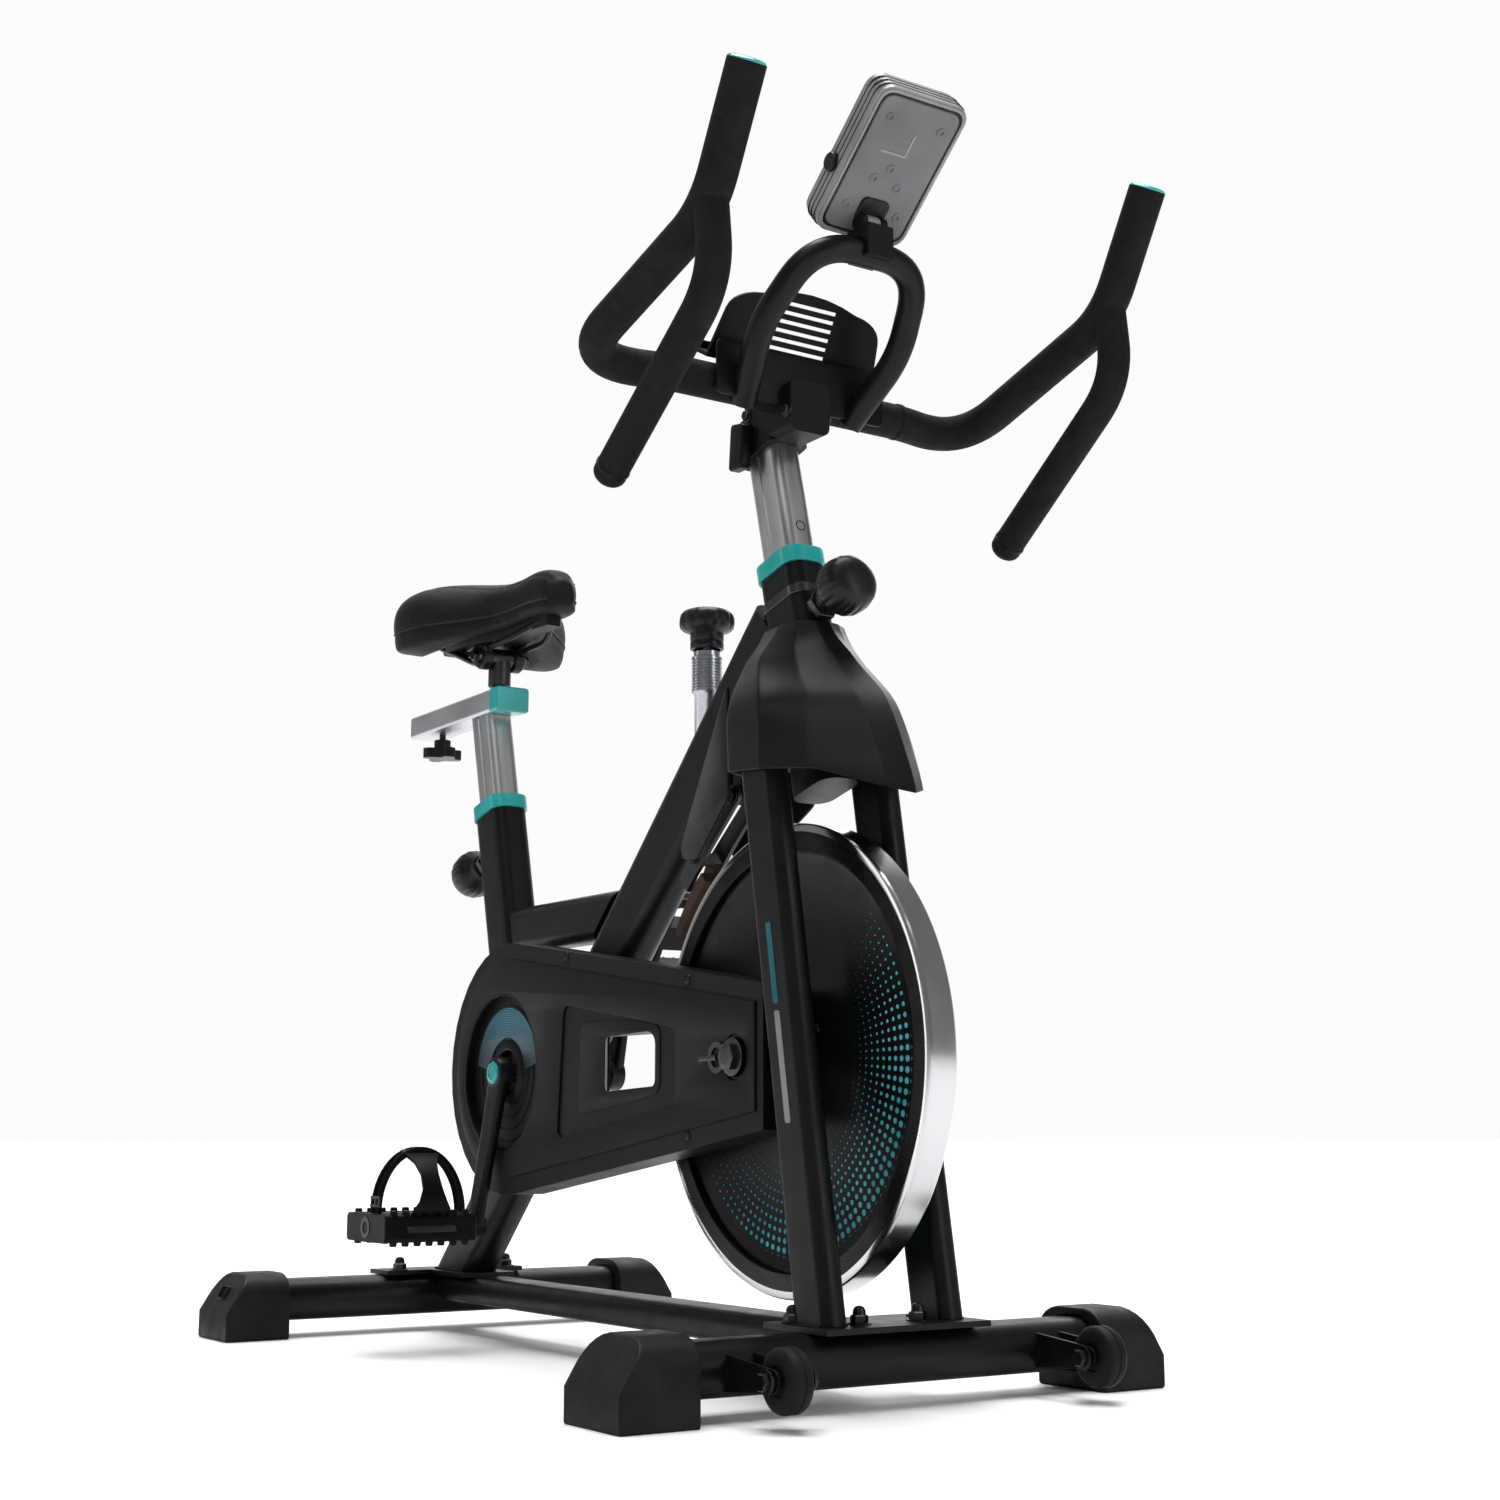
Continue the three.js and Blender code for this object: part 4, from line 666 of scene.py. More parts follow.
OUT_RIGHT = Vector((0, -1, 0))
UP = Vector((0, 0, 1))
POST_FRONT = Vector((math.cos(POST_TILT), 0, math.sin(POST_TILT)))


def on_seat_axis(z):
    return at(140 - math.tan(POST_TILT) * (z - 645), 0, z)


def on_head_axis(z):
    return at(744 - math.tan(POST_TILT) * (z - 741), 0, z)


# ------------------------------------------------------------------ pieces in their CAD shape
# How far the edges are rounded over in millimetres and the finish; then the angle in degrees
# from which an edge is sharp and the steps of its round, where they aren't 30 and 2.
SKINS = {
    "base_tube": (0.9, PAINT),
    "main_tube": (0.9, PAINT),
    "seat_tube": (0.9, PAINT),
    "seat_beam": (0.9, PAINT),
    "fork_leg_left": (1.2, PAINT),
    "fork_leg_right": (1.2, PAINT),
    "rear_stabilizer": (0.8, PAINT),
    "front_stabilizer": (0.8, PAINT),
    "seat_collar": (1.3, TEAL, 30, 3),
    "head_collar": (1.3, TEAL, 30, 3),
    "rear_foot_cap_left": (3.2, RUBBER, 34, 4),
    "rear_foot_cap_right": (3.2, RUBBER, 34, 4),
    "front_foot_cap_left": (3.2, RUBBER, 34, 4),
    "front_foot_cap_right": (3.2, RUBBER, 34, 4),
    "drive_cover": (2.2, PLASTIC, 34, 3),
    "drive_cover_back": (0.8, PLASTIC, 40),
    "pedal_left": (2.2, PLASTIC, 30, 3),
    "pedal_right": (2.2, PLASTIC, 30, 3),
    "handlebar_clamp": (1.6, PLASTIC, 30, 3),
    "display_mount": (1.2, PLASTIC),
    "tablet_rest": (1.3, PLASTIC, 40),
    "handlebar_post": (0.5, ALUMINIUM, 40),
    "seat_post": (0.5, ALUMINIUM, 40),
    "display_housing": (3.4, GREY_PLASTIC, 50, 4),
    "saddle_shell": (0.9, PLASTIC, 40),
    "saddle_clamp": (0.6, DARK_STEEL, 40),
    "seat_rail": (0.5, RAIL_METAL, 45),
    "seat_rail_cap": (2.2, TEAL, 30, 3),
    "seat_rail_knob": (1.6, KNOB_PLASTIC, 30, 3),
    "brake_arm": (0.8, DARK_STEEL, 40),
    "brake_pad": (1.0, FELT),
    "flywheel_axle": (0.7, DARK_STEEL, 40),
}
# Pieces that keep their CAD mesh as it is.
PLAIN = {
    "seat_height_pin": STEEL,
    "handlebar_height_pin": STEEL,
    "display_screen": SCREEN,
    "display_button": KNOB_PLASTIC,
    "saddle_carriage": PAINT,
    "tension_rod": STEEL,
    "crank_spindle": STEEL,
    "drive_pulley": PLASTIC,
    "flywheel_pulley": STEEL,
    "drive_belt": BELT,
}


# ------------------------------------------------------------------ feet and frame details
# The transport wheels' axles, and the foot plates' and the weld beads' levels.
WHEEL_X, WHEEL_Y, WHEEL_Z = 966, 157, 37
PLATE_TOP = 66.3
CAP_NUT = [(0, 7), (5.6, 7), (5.4, 11), (3.8, 13.6), (1.6, 14.6), (0, 14.7)]
WELD_TOP = 66.6


def dress_feet():
    wells, wells_done = group("leveller_wells", "frame", PLASTIC)
    wheels, wheels_done = group("leveller_wheels", "frame", KNOB_PLASTIC)
    for side in (1, -1):
        slope = Vector((0, side * 0.848, 0.53)).normalized()
        centre = at(44, side * 262.8, 48.5)
        place = facing(centre, slope, Vector((1, 0, 0)))
        frame_loop = [(-9.5, -7), (9.5, -7), (9.5, 7), (-9.5, 7)]
        ring = [place @ Vector((y * MM, x * MM, 0.0002)) for x, y in rounded_loop(frame_loop, 3)]
        sweep(wells, ring, 1.3, 10, closed=True)
        floor = [place @ Vector((x, 0, -0.0012)) for x in (-0.006, 0.006)]
        sweep(wells, floor, 6.4, 14, squash=0.3)
        knurl = place @ Matrix.Rotation(math.pi / 2, 4, "Y")
        teeth = [(0, -5.5), (5.2, -5.5), (6.2, -4.6), (6.2, 4.6), (5.2, 5.5), (0, 5.5)]
        revolve(wheels, teeth, knurl @ Matrix.Translation((0.004, 0, 0)), 14)
    wells_done()
    wheels_done()

    bolts, bolts_done = group("plate_bolts", "frame", BOLT)
    for x, y in ((60, 66), (60, -66), (884, 30), (884, -30), (846, 70), (846, -70)):
        place = facing(at(x, y, PLATE_TOP), UP)
        hex_bolt(bolts, place, 13, 7.5)
        revolve(bolts, CAP_NUT, place, 24)
    for side in (1, -1):
        for face in (1, -1):
            hex_bolt(bolts, sideways(WHEEL_X, side * WHEEL_Y + face * 19, WHEEL_Z, face), 13, 6)
    bolts_done()
    for side, word in SIDES.items():
        half = [
            (4.4, -8), (11, -8), (12, -9.6), (20, -9.6), (23.6, -8.2), (25, -5.6), (25, -1.2),
            (24.2, -0.6),
        ]
        tyre = mirrored(half)
        name = f"transport_wheel_{word}"
        place = sideways(WHEEL_X, side * WHEEL_Y, WHEEL_Z, 1)
        turned(name + "_tyre", tyre, place, 56, f"wheel_{word}", TYRE, (name,), 45, True)
        bm = bmesh.new()
        for k in range(6):
            turn = Matrix.Rotation(TURN * k / 6, 4, "Z")
            for face in (1, -1):
                place = sideways(WHEEL_X, side * WHEEL_Y, WHEEL_Z, face) @ turn
                line = [place @ Vector((r * MM, 0, 0.0086)) for r in (13, 15, 17, 19)]
                sweep(bm, line, 0.9, 8)
        add(f"wheel_ribs_{word}", mesh_of(bm, "ribs"), f"wheel_{word}", KNOB_PLASTIC)


def weld_line(bm, path, radius=2.0):
    """A ripple of weld metal along a joint."""
    line = [path[0]]
    for a, b in zip(path, path[1:]):
        steps = max(1, round((b - a).length / (1.1 * MM)))
        line += [a.lerp(b, (k + 1) / steps) for k in range(steps)]
    radii = [radius * (0.86 + 0.14 * math.cos(k * 2.1)) for k in range(len(line))]
    sweep(bm, line, radii, 8)


def add_welds():
    bm, done = group("weld_beads", "frame", PAINT, 80)
    for side in (1, -1):
        y = side * 60
        for face in (1, -1):
            edge = y + face * 13
            weld_line(bm, [at(847.5, edge, WELD_TOP), at(890, edge, WELD_TOP)], 1.6)
        for x in (847, 892):
            weld_line(bm, [at(x, y - 12, WELD_TOP), at(x, y + 12, WELD_TOP)], 1.6)
        weld_line(bm, [at(762, side * 50, 540), at(762, side * 72, 540)], 1.8)
    weld_line(bm, [at(150, 18.4, 414), at(190, 18.4, 413.6)], 0.4)
    for side in (1, -1):
        y = side * 20.3
        weld_line(bm, [at(58, y, WELD_TOP + 0.5), at(126, y, WELD_TOP + 0.5)], 1.9)
    done()


def leg_x(z):
    """The middle of a fork leg at a height."""
    return 873.7 - math.tan(math.radians(9.9)) * (z - 59)


def add_head_band():
    """The smooth pressed band round the head socket, below its collar."""
    band, done = group("head_socket_band", "frame", BAND)
    axis = (on_head_axis(720) - on_head_axis(700)).normalized()
    forward = Vector((0, 1, 0)).cross(axis)
    outline = slab(31.3, -21.3, 21.3, 15)
    rows = []
    for level, grow in ((698, 0.0), (698.6, 0.5), (706.4, 0.5), (707, 0.0)):
        centre = on_head_axis(level)
        rows.append([])
        for x, y in outline:
            side = Vector((0, y * (1 + grow / 21) * MM, 0))
            rows[-1].append(band.verts.new(centre + forward * (x * (1 + grow / 31)) * MM + side))
    skin(band, rows)
    done()


def add_stripes():
    """Plain two-tone bars where the maker's lettering would be."""
    for name, low, high, material in (
        ("grey", 228, 322, STRIPE_GREY), ("teal", 328, 398, TEAL_DEEP_FLAT)
    ):
        corners = [
            (leg_x(low) - 4, low), (leg_x(low) + 4, low), (leg_x(high) + 4, high),
            (leg_x(high) - 4, high),
        ]
        side_plate(
            f"leg_stripe_{name}", [rounded_loop(corners, 2.5)], -72.7, 0.6, "frame", material, 0.2
        )


# ------------------------------------------------------------------ front hood
HOOD_RINGS = [
    (674, [(733, 0), (738, 25), (765, 28), (793, 26), (802, 13), (806, 0)]),
    (640, [(706, 0), (744, 50), (772, 53), (806, 38), (830, 14), (838, 0)]),
    (592, [(696, 0), (758, 78), (806, 77), (842, 50), (876, 20), (888, 0)]),
    (540, [(697, 0), (761, 80), (812, 81), (856, 60), (902, 20), (916, 0)]),
    (496, [(700, 0), (761, 81), (814, 83), (866, 62), (918, 20), (932, 0)]),
]
HOOD_WALL = 3
HOOD_STEPS = 26
# The hood's foot is the lower of two lines, each a height at FOOT_X and a fall per X.
FOOT_X = 660
HOOD_FEET = ((543, 27 / 340), (603, 128 / 340))
WING = [(714, 628), (667, 571), (600, 489), (606, 476), (641, 473), (698, 510), (716, 522)]
WING_REAR, WING_SPLAY = 600, 0.17


def between(values, t):
    """A smooth value between the middle two of four."""
    p0, p1, p2, p3 = values
    bend = (3 * p1 - p0 - 3 * p2 + p3) * t ** 3
    return 0.5 * (2 * p1 + (p2 - p0) * t + (2 * p0 - 5 * p1 + 4 * p2 - p3) * t * t + bend)


def hood_ring(z):
    """The hood's corners at one height, from its rear middle to its front middle."""
    heights = [ring[0] for ring in HOOD_RINGS]
    i = next((k for k in range(len(heights) - 1) if z >= heights[k + 1]), len(heights) - 2)
    t = (heights[i] - z) / (heights[i] - heights[i + 1])
    picks = [HOOD_RINGS[min(max(k, 0), len(heights) - 1)][1] for k in (i - 1, i, i + 1, i + 2)]
    return [
        tuple(between([pick[c][axis] for pick in picks], t) for axis in (0, 1)) for c in range(6)
    ]


def hood_foot(x):
    return min(height - fall * (x - FOOT_X) for height, fall in HOOD_FEET)


def hood_column(corner, share, inset):
    """Points down the hood at one place between two of its corners."""

    def point(z):
        ring = hood_ring(z)
        (x0, y0), (x1, y1) = ring[corner], ring[min(corner + 1, 5)]
        x, y = x0 + (x1 - x0) * share, y0 + (y1 - y0) * share
        middle = (ring[0][0] + ring[5][0]) / 2
        keep = 1 - inset / max(1.0, math.hypot(x - middle, y))
        return middle + (x - middle) * keep, y * keep, z

    low = 520.0
    for _ in range(8):
        low = hood_foot(point(low)[0])
    top = HOOD_RINGS[0][0] - 0.4 * inset
    return [point(top + (low - top) * k / HOOD_STEPS) for k in range(HOOD_STEPS + 1)]


def hood_loop(inset):
    """Columns all round the hood, closer together beside its corners."""
    shares = [
        (corner, share) for corner in range(5) for share in (0.0, 0.05, 0.2, 0.4, 0.6, 0.8, 0.95)
    ]
    half = [hood_column(corner, share, inset) for corner, share in [*shares, (5, 0.0)]]
    far = [[(x, -y, z) for x, y, z in column] for column in half[-2:0:-1]]
    return half + far


def dress_hood():
    """The hood, with long soft facets and a rolled lower edge, and its two rear wings."""
    bm = bmesh.new()
    skins = []
    for inset in (0.0, HOOD_WALL):
        columns = hood_loop(inset)
        skins.append([[bm.verts.new(at(*point)) for point in column] for column in columns])
    count = len(skins[0])
    for i in range(count):
        for columns in skins:
            a, b = columns[i], columns[(i + 1) % count]
            for k in range(HOOD_STEPS):
                bm.faces.new((a[k], b[k], b[k + 1], a[k + 1]))
        outer, inner = skins
        j = (i + 1) % count
        for end in (0, HOOD_STEPS):
            bm.faces.new((outer[i][end], outer[j][end], inner[j][end], inner[i][end]))
    bmesh.ops.smooth_vert(
        bm, verts=bm.verts, factor=0.35, use_axis_x=True, use_axis_y=True, use_axis_z=False
    )
    bmesh.ops.recalc_face_normals(bm, faces=bm.faces)
    rims = [
        e for e in bm.edges if len(e.link_faces) == 2 and e.calc_face_angle() > math.radians(60)
    ]
    round_edges(bm, rims, 0.9, 3)
    add("front_hood_moulding", mesh_of(bm, "hood", 50), "frame", HOOD_PLASTIC, ("front_hood",))
    for side in (1, -1):
        metres = [[((x - WING_REAR) * MM, z * MM) for x, z in rounded_loop(WING, 7)]]
        mesh = plate_mesh("hood_wing", metres, HOOD_WALL, 0.9)
        mesh.transform(Matrix.Translation((0, side * HOOD_WALL / 2 * MM, 0)) @ UPRIGHT)
        splay = Matrix.Rotation(side * WING_SPLAY, 4, "Z")
        mesh.transform(Matrix.Translation(at(WING_REAR, side * 27, 0)) @ splay)
        mesh.flip_normals()
        word = SIDES[side]
        add(f"hood_wing_{word}", mesh, "frame", HOOD_PLASTIC)


# ------------------------------------------------------------------ drive cover
COVER = {
    "rear_x": 313, "z": 285, "rear_r": 130, "front_x": 770, "front_r": 66, "end": 797, "face": -66
}
DISH_RADIUS = 81


def cover_outline(inset, end):
    """Two circles joined by their tangents, cut off square at its front end."""
    rear_r, front_r = COVER["rear_r"] - inset, COVER["front_r"] - inset
    tilt = math.acos((rear_r - front_r) / (COVER["front_x"] - COVER["rear_x"]))
    foot_x = COVER["rear_x"] + rear_r * math.cos(tilt)
    rise = rear_r * math.sin(tilt)
    end_rise = rise - (end - foot_x) / math.tan(tilt)
    rim = arc(COVER["rear_x"], COVER["z"], rear_r, tilt, TURN - tilt, 72)
    return [*rim, (end, COVER["z"] - end_rise), (end, COVER["z"] + end_rise)]


WINDOW = [(522, 258), (617, 262), (617, 306), (606, 313), (522, 310)]
WELL = [(430, 213), (655, 245), (655, 314), (440, 345)]
COVER_SCREWS = [(440, 392), (672, 356), (673, 216)]


def dress_cover():
    face = COVER["face"]
    loops = [
        cover_outline(17, 786),
        circle(*CRANK, DISH_RADIUS + 3),
        rounded_loop(WELL, 12),
        circle(*HUB, 20, 40),
    ]
    side_plate("cover_raised_panel", loops, face - 1.0, 2.4, "frame", PLASTIC, 1.0)
    well = [
        rounded_loop([(472, 236), (586, 249), (626, 256), (626, 318), (575, 325), (474, 327)], 12)
    ]
    well.append(rounded_loop(WINDOW, 7))
    side_plate("cover_window_frame", well, face - 0.3, 1.2, "frame", PLASTIC, 0.5)

    dish, dish_done = group("crank_dish_rings", "frame", PLASTIC)
    centre = facing(at(CRANK[0], face, CRANK[1]), OUT_RIGHT)
    lip = [
        (80.6, -7), (80.6, 0.6), (81.6, 2.0), (84.4, 2.0), (86.0, 0.2), (86.0, -0.6), (83, -0.6),
        (83, -7),
    ]
    revolve(dish, lip, centre, 120, closed=True)
    for radius in (70, 58, 46):
        ring = [
            (radius - 1.2, -8.2), (radius - 0.8, -7.2), (radius, -6.8), (radius + 0.8, -7.2),
            (radius + 1.2, -8.2),
        ]
        revolve(dish, ring, centre, 96, closed=True)
    hub = [(24.2, -8.2), (24.2, -6.0), (25.4, -5.2), (30, -5.2), (33, -6.4), (35, -8.2)]
    revolve(dish, hub, centre, 72, closed=True)
    dish_done()
    crescent = arc(*CRANK, 68.4, math.radians(8), math.radians(172), 60)
    shadow = arc(CRANK[0], CRANK[1] - 5, 42, math.radians(168), math.radians(12), 40)
    side_plate("crank_dish_crescent", [crescent + shadow], face + 7.2, 1.6, "frame", TEAL_DEEP, 0.4)

    screws, screws_done = group("cover_screws", "frame", BOLT)
    for x, z in COVER_SCREWS:
        cross_screw(screws, facing(at(x, face - 0.1, z), OUT_RIGHT), 3.6)
    screws_done()
    cups, cups_done = group("cover_screw_cups", "frame", PLASTIC)
    for x, z in COVER_SCREWS:
        ring = [(4.0, -0.4), (4.4, 0.8), (5.6, 0.8), (6.2, -0.4)]
        revolve(cups, ring, facing(at(x, face, z), OUT_RIGHT), 28, closed=True)
    cups_done()
    tensioner, tensioner_done = group("axle_tensioner", "frame", DARK_STEEL)
    hex_bolt(tensioner, facing(at(HUB[0], -70, HUB[1]), OUT_RIGHT), 22, 8)
    eye = [(9, 0), (9, 3), (14, 3), (14, 0)]
    revolve(tensioner, eye, facing(at(728, -67.2, 285), OUT_RIGHT), 32, closed=True)
    sweep(tensioner, [at(728, -68.5, 285), at(700, -68.5, 284)], 3.0, 12)
    tensioner_done()


# ------------------------------------------------------------------ cranks and pedals
CRANK_TILT = math.radians(6.3)
CRANK_LENGTH = 156
FAR_PITCH = math.radians(-55)
# The arm's section is a rounded box: the smaller the power, the sharper its corners.
ARM_STEPS = 26
ARM_SIDES = 20
ARM_CORNER = 0.45


def crank_end(side):
    """The X and Z of a pedal's spindle."""
    reach = CRANK_LENGTH * side
    return (CRANK[0] + reach * math.sin(CRANK_TILT), CRANK[1] + reach * math.cos(CRANK_TILT))


def crank_arm(side):
    """A forged arm, thick at its hub and waisted to the pedal's eye."""
    word = SIDES[side]
    (x0, z0), (x1, z1) = CRANK, crank_end(side)
    bm = bmesh.new()
    rings = []
    along = Vector((x1 - x0, 0, z1 - z0)).normalized()
    across = Vector((along.z, 0, -along.x))
    for i in range(ARM_STEPS + 1):
        t = i / ARM_STEPS
        half = 15.5 - 5.0 * t + 2.0 * max(0, (t - 0.86) / 0.14)
        thick = 6.6 - 1.2 * math.sin(math.pi * min(1, t * 1.05))
        y = side * (67.5 + 16.5 * t)
        centre = at(x0 + (x1 - x0) * t, y, z0 + (z1 - z0) * t)
        ring = []
        for k in range(ARM_SIDES):
            a = TURN * k / ARM_SIDES
            c, s = math.cos(a), math.sin(a)
            u = math.copysign(abs(c) ** ARM_CORNER, c) * half
            v = math.copysign(abs(s) ** ARM_CORNER, s) * thick
            if abs(u) < half * 0.55 and 0.12 < t < 0.82:
                v *= 0.8
            ring.append(bm.verts.new(centre + across * u * MM + Vector((0, v * MM, 0))))
        rings.append(ring)
    skin(bm, rings)
    bm.faces.new(rings[0])
    bm.faces.new(list(reversed(rings[-1])))
    at_hub, at_eye = sideways(x0, 0, z0, side), sideways(x1, 0, z1, side)
    hub = [(0, 59.5), (17, 59.5), (17, 73.6), (16, 75), (12.6, 75.5), (12.2, 74.2), (0, 74.2)]
    revolve(bm, hub, at_hub, 48)
    eye = [(0, 77), (13, 77), (13, 90), (12.2, 91), (0, 91)]
    revolve(bm, eye, at_eye, 40)
    spindle = [
        (0, 90), (7, 90), (7, 93), (8.2, 93), (8.2, 97), (5, 98), (5, 199), (4, 200), (0, 200)
    ]
    revolve(bm, spindle, at_eye, 28)
    add(f"crank_arm_{word}_forged", mesh_of(bm, word), "crank", PAINT, (f"crank_arm_{word}",))
    cap = [(0, 74.4), (11.8, 74.4), (11.8, 76.0), (10.6, 77.4), (7.4, 77.9), (7.0, 76.8), (0, 76.4)]
    turned(f"crank_cap_{word}", cap, at_hub, 48, "crank", TEAL, (), 38)


def pedal(side):
    """A caged platform pedal with toothed edges, reflectors and a toe clip with its strap."""
    word = SIDES[side]
    body = f"pedal_{word}"
    x, z = crank_end(side)
    pitch = FAR_PITCH if side > 0 else 0
    place = Matrix.Translation(at(x, side * 156, z)) @ Matrix.Rotation(pitch, 4, "Y")

    def local(px, py, pz):
        return place @ Vector((px * MM, py * MM, pz * MM))

    teeth, teeth_done = group(f"pedal_teeth_{word}", body, PLASTIC)
    for face in (1, -1):
        for edge in (1, -1):
            for k in range(7):
                root = local(edge * 43.6, -39 + 13 * k, face * 12.6)
                stud = [(0, 0), (4.3, 0), (3.7, 4.4), (3.0, 5.0), (0, 5.0)]
                revolve(teeth, stud, facing(root, place.to_3x3() @ Vector((0, 0, face))), 8)
    for face in (1, -1):
        for rail in (1, -1):
            line = [local(px, rail * 44, face * 14.1) for px in range(-40, 41, 8)]
            sweep(teeth, line, 0.9, 8)
    teeth_done()
    glints, glints_done = group(f"pedal_reflectors_{word}", body, REFLECTOR)
    for edge in (1, -1):
        corners = [local(edge * 48.3, -26, 0), local(edge * 48.3, 26, 0)]
        sweep(glints, corners, 5.2, 18, squash=0.28)
    glints_done()
    collar, collar_done = group(f"pedal_bearing_{word}", body, DARK_STEEL)
    for y0 in (-50.6, 49.0):
        ring = [(6.2, 0), (6.2, 1.6), (10, 1.6), (10.6, 1.0), (10.6, 0)]
        bearing = facing(local(0, y0, 0), place.to_3x3() @ Vector((0, 1, 0)))
        revolve(collar, ring, bearing, 32, closed=True)
    collar_done()
    clip, clip_done = group(f"toe_clip_{word}", body, PLASTIC)
    hoop = [
        (46 * math.cos(a), 14.6 + 62 * math.sin(a)) for a in [math.pi * k / 28 for k in range(29)]
    ]
    for shift in (11, 23):
        sweep(clip, [local(shift - 4 * (pz / 76), py, pz) for py, pz in hoop], 3.4, 12, squash=0.45)
    rows = [
        (46, 14.6, 21), (50, 19, 20), (52, 27, 15), (50, 40, 10.5), (42, 54, 9.5), (32, 65, 12),
        (20, 74, 19), (8, 77, 17),
    ]
    top, under = (
        [
            [clip.verts.new(local(px + lift, half * k / 4, pz + lift)) for k in range(-4, 5)]
            for px, pz, half in rows
        ]
        for lift in (0.0, -2.2)
    )
    for i in range(len(rows) - 1):
        for k in range(8):
            clip.faces.new((top[i][k], top[i][k + 1], top[i + 1][k + 1], top[i + 1][k]))
            clip.faces.new((under[i][k], under[i + 1][k], under[i + 1][k + 1], under[i][k + 1]))
        for k in (0, 8):
            clip.faces.new((top[i][k], top[i + 1][k], under[i + 1][k], under[i][k]))
    for i in (0, -1):
        for k in range(8):
            clip.faces.new((top[i][k], under[i][k], under[i][k + 1], top[i][k + 1]))
    clip_done()
    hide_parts(f"toe_cage_{word}")
    buckle, buckle_done = group(f"toe_buckle_{word}", body, DARK_STEEL)
    for shift in (-9, 0, 9):
        loop = [local(17 + shift, side * 47.2, 20 + dz) for dz in (0, 3, 6, 9)]
        sweep(buckle, loop, 1.3, 10)
    for out, level in ((47.4, 22), (47.0, 30)):
        sweep(buckle, [local(px, side * out, level) for px in (7, 27)], 1.6, 10)
    buckle_done()


# ------------------------------------------------------------------ flywheel
def dress_flywheel():
    hub = facing(WHEEL_HUB, Vector((0, 1, 0)))
    rim = [
        (201, -14.3), (206, -14.3), (207.9, -13.4), (209, -11.8), (209, 11.8), (207.9, 13.4),
        (206, 14.3), (201, 14.3), (196, 10), (196, -10),
    ]
    cheek = [(186.2, -13.6), (187.2, -14.4), (201.4, -14.5), (202.2, -14.0)]
    face = [
        (6.4, 29.6), (31, 29.6), (32, 28.6), (32.4, 12), (36, 8.6), (60, 7.2), (62, 6.2),
        (178, 6.2), (180.5, 7.4), (184, 8.0), (185.8, 8.0),
    ]
    for name, profile, sides, material, nodes in (
        ("flywheel_rim_polished", rim, 220, CHROME, ("flywheel_rim",)),
        ("flywheel_rim_cheeks", mirrored(cheek), 180, RIM_BLACK, ()),
        ("flywheel_disc_cast", mirrored(face), 160, DISC, ("flywheel_disc",)),
    ):
        turned(name, profile, hub, sides, "flywheel", material, nodes, 30, True)
    bolts, done = group("flywheel_hub_bolts", "flywheel", BOLT)
    for side in (1, -1):
        for k in range(6):
            a = TURN * (k + 0.5) / 6
            centre = at(HUB[0] + 48 * math.cos(a), side * 7.6, HUB[1] + 48 * math.sin(a))
            dome_bolt(bolts, facing(centre, Vector((0, side, 0))), 4.2, 2.6)
    done()


# ------------------------------------------------------------------ knobs
def fluted(profile, flutes, depth, place, sides=120):
    """A turned knob whose grip is fluted where its radius is largest."""
    bm = bmesh.new()
    revolve(bm, profile, place, sides)
    widest = max(radius for radius, _ in profile)
    inverse = place.inverted()
    for vert in bm.verts:
        p = inverse @ vert.co
        radius = math.hypot(p.x, p.y)
        share = max(0.0, (radius / MM - widest * 0.86) / (widest * 0.14))
        if share > 0:
            a = math.atan2(p.y, p.x)
            pull = 1 - depth / widest * share * (0.5 + 0.5 * math.cos(a * flutes)) ** 3
            vert.co = place @ Vector((p.x * pull, p.y * pull, p.z))
    return bm


def lock_knob(name, place):
    """The big round knob of a locking pin."""
    profile = [
        (5.3, 49), (14, 49), (15, 50), (15.3, 53), (16.4, 57), (21, 60.5), (24.6, 64), (26.6, 69),
        (27, 74), (26.8, 80), (25.6, 86), (23, 91), (18, 94.6), (12, 96.4), (6, 97), (0, 97.1),
        (0, 69.4),
    ]
    bm = fluted(profile, 18, 1.2, place)
    add(name + "_grip", mesh_of(bm, name, 50), name.replace("_height", ""), KNOB_PLASTIC, (name,))


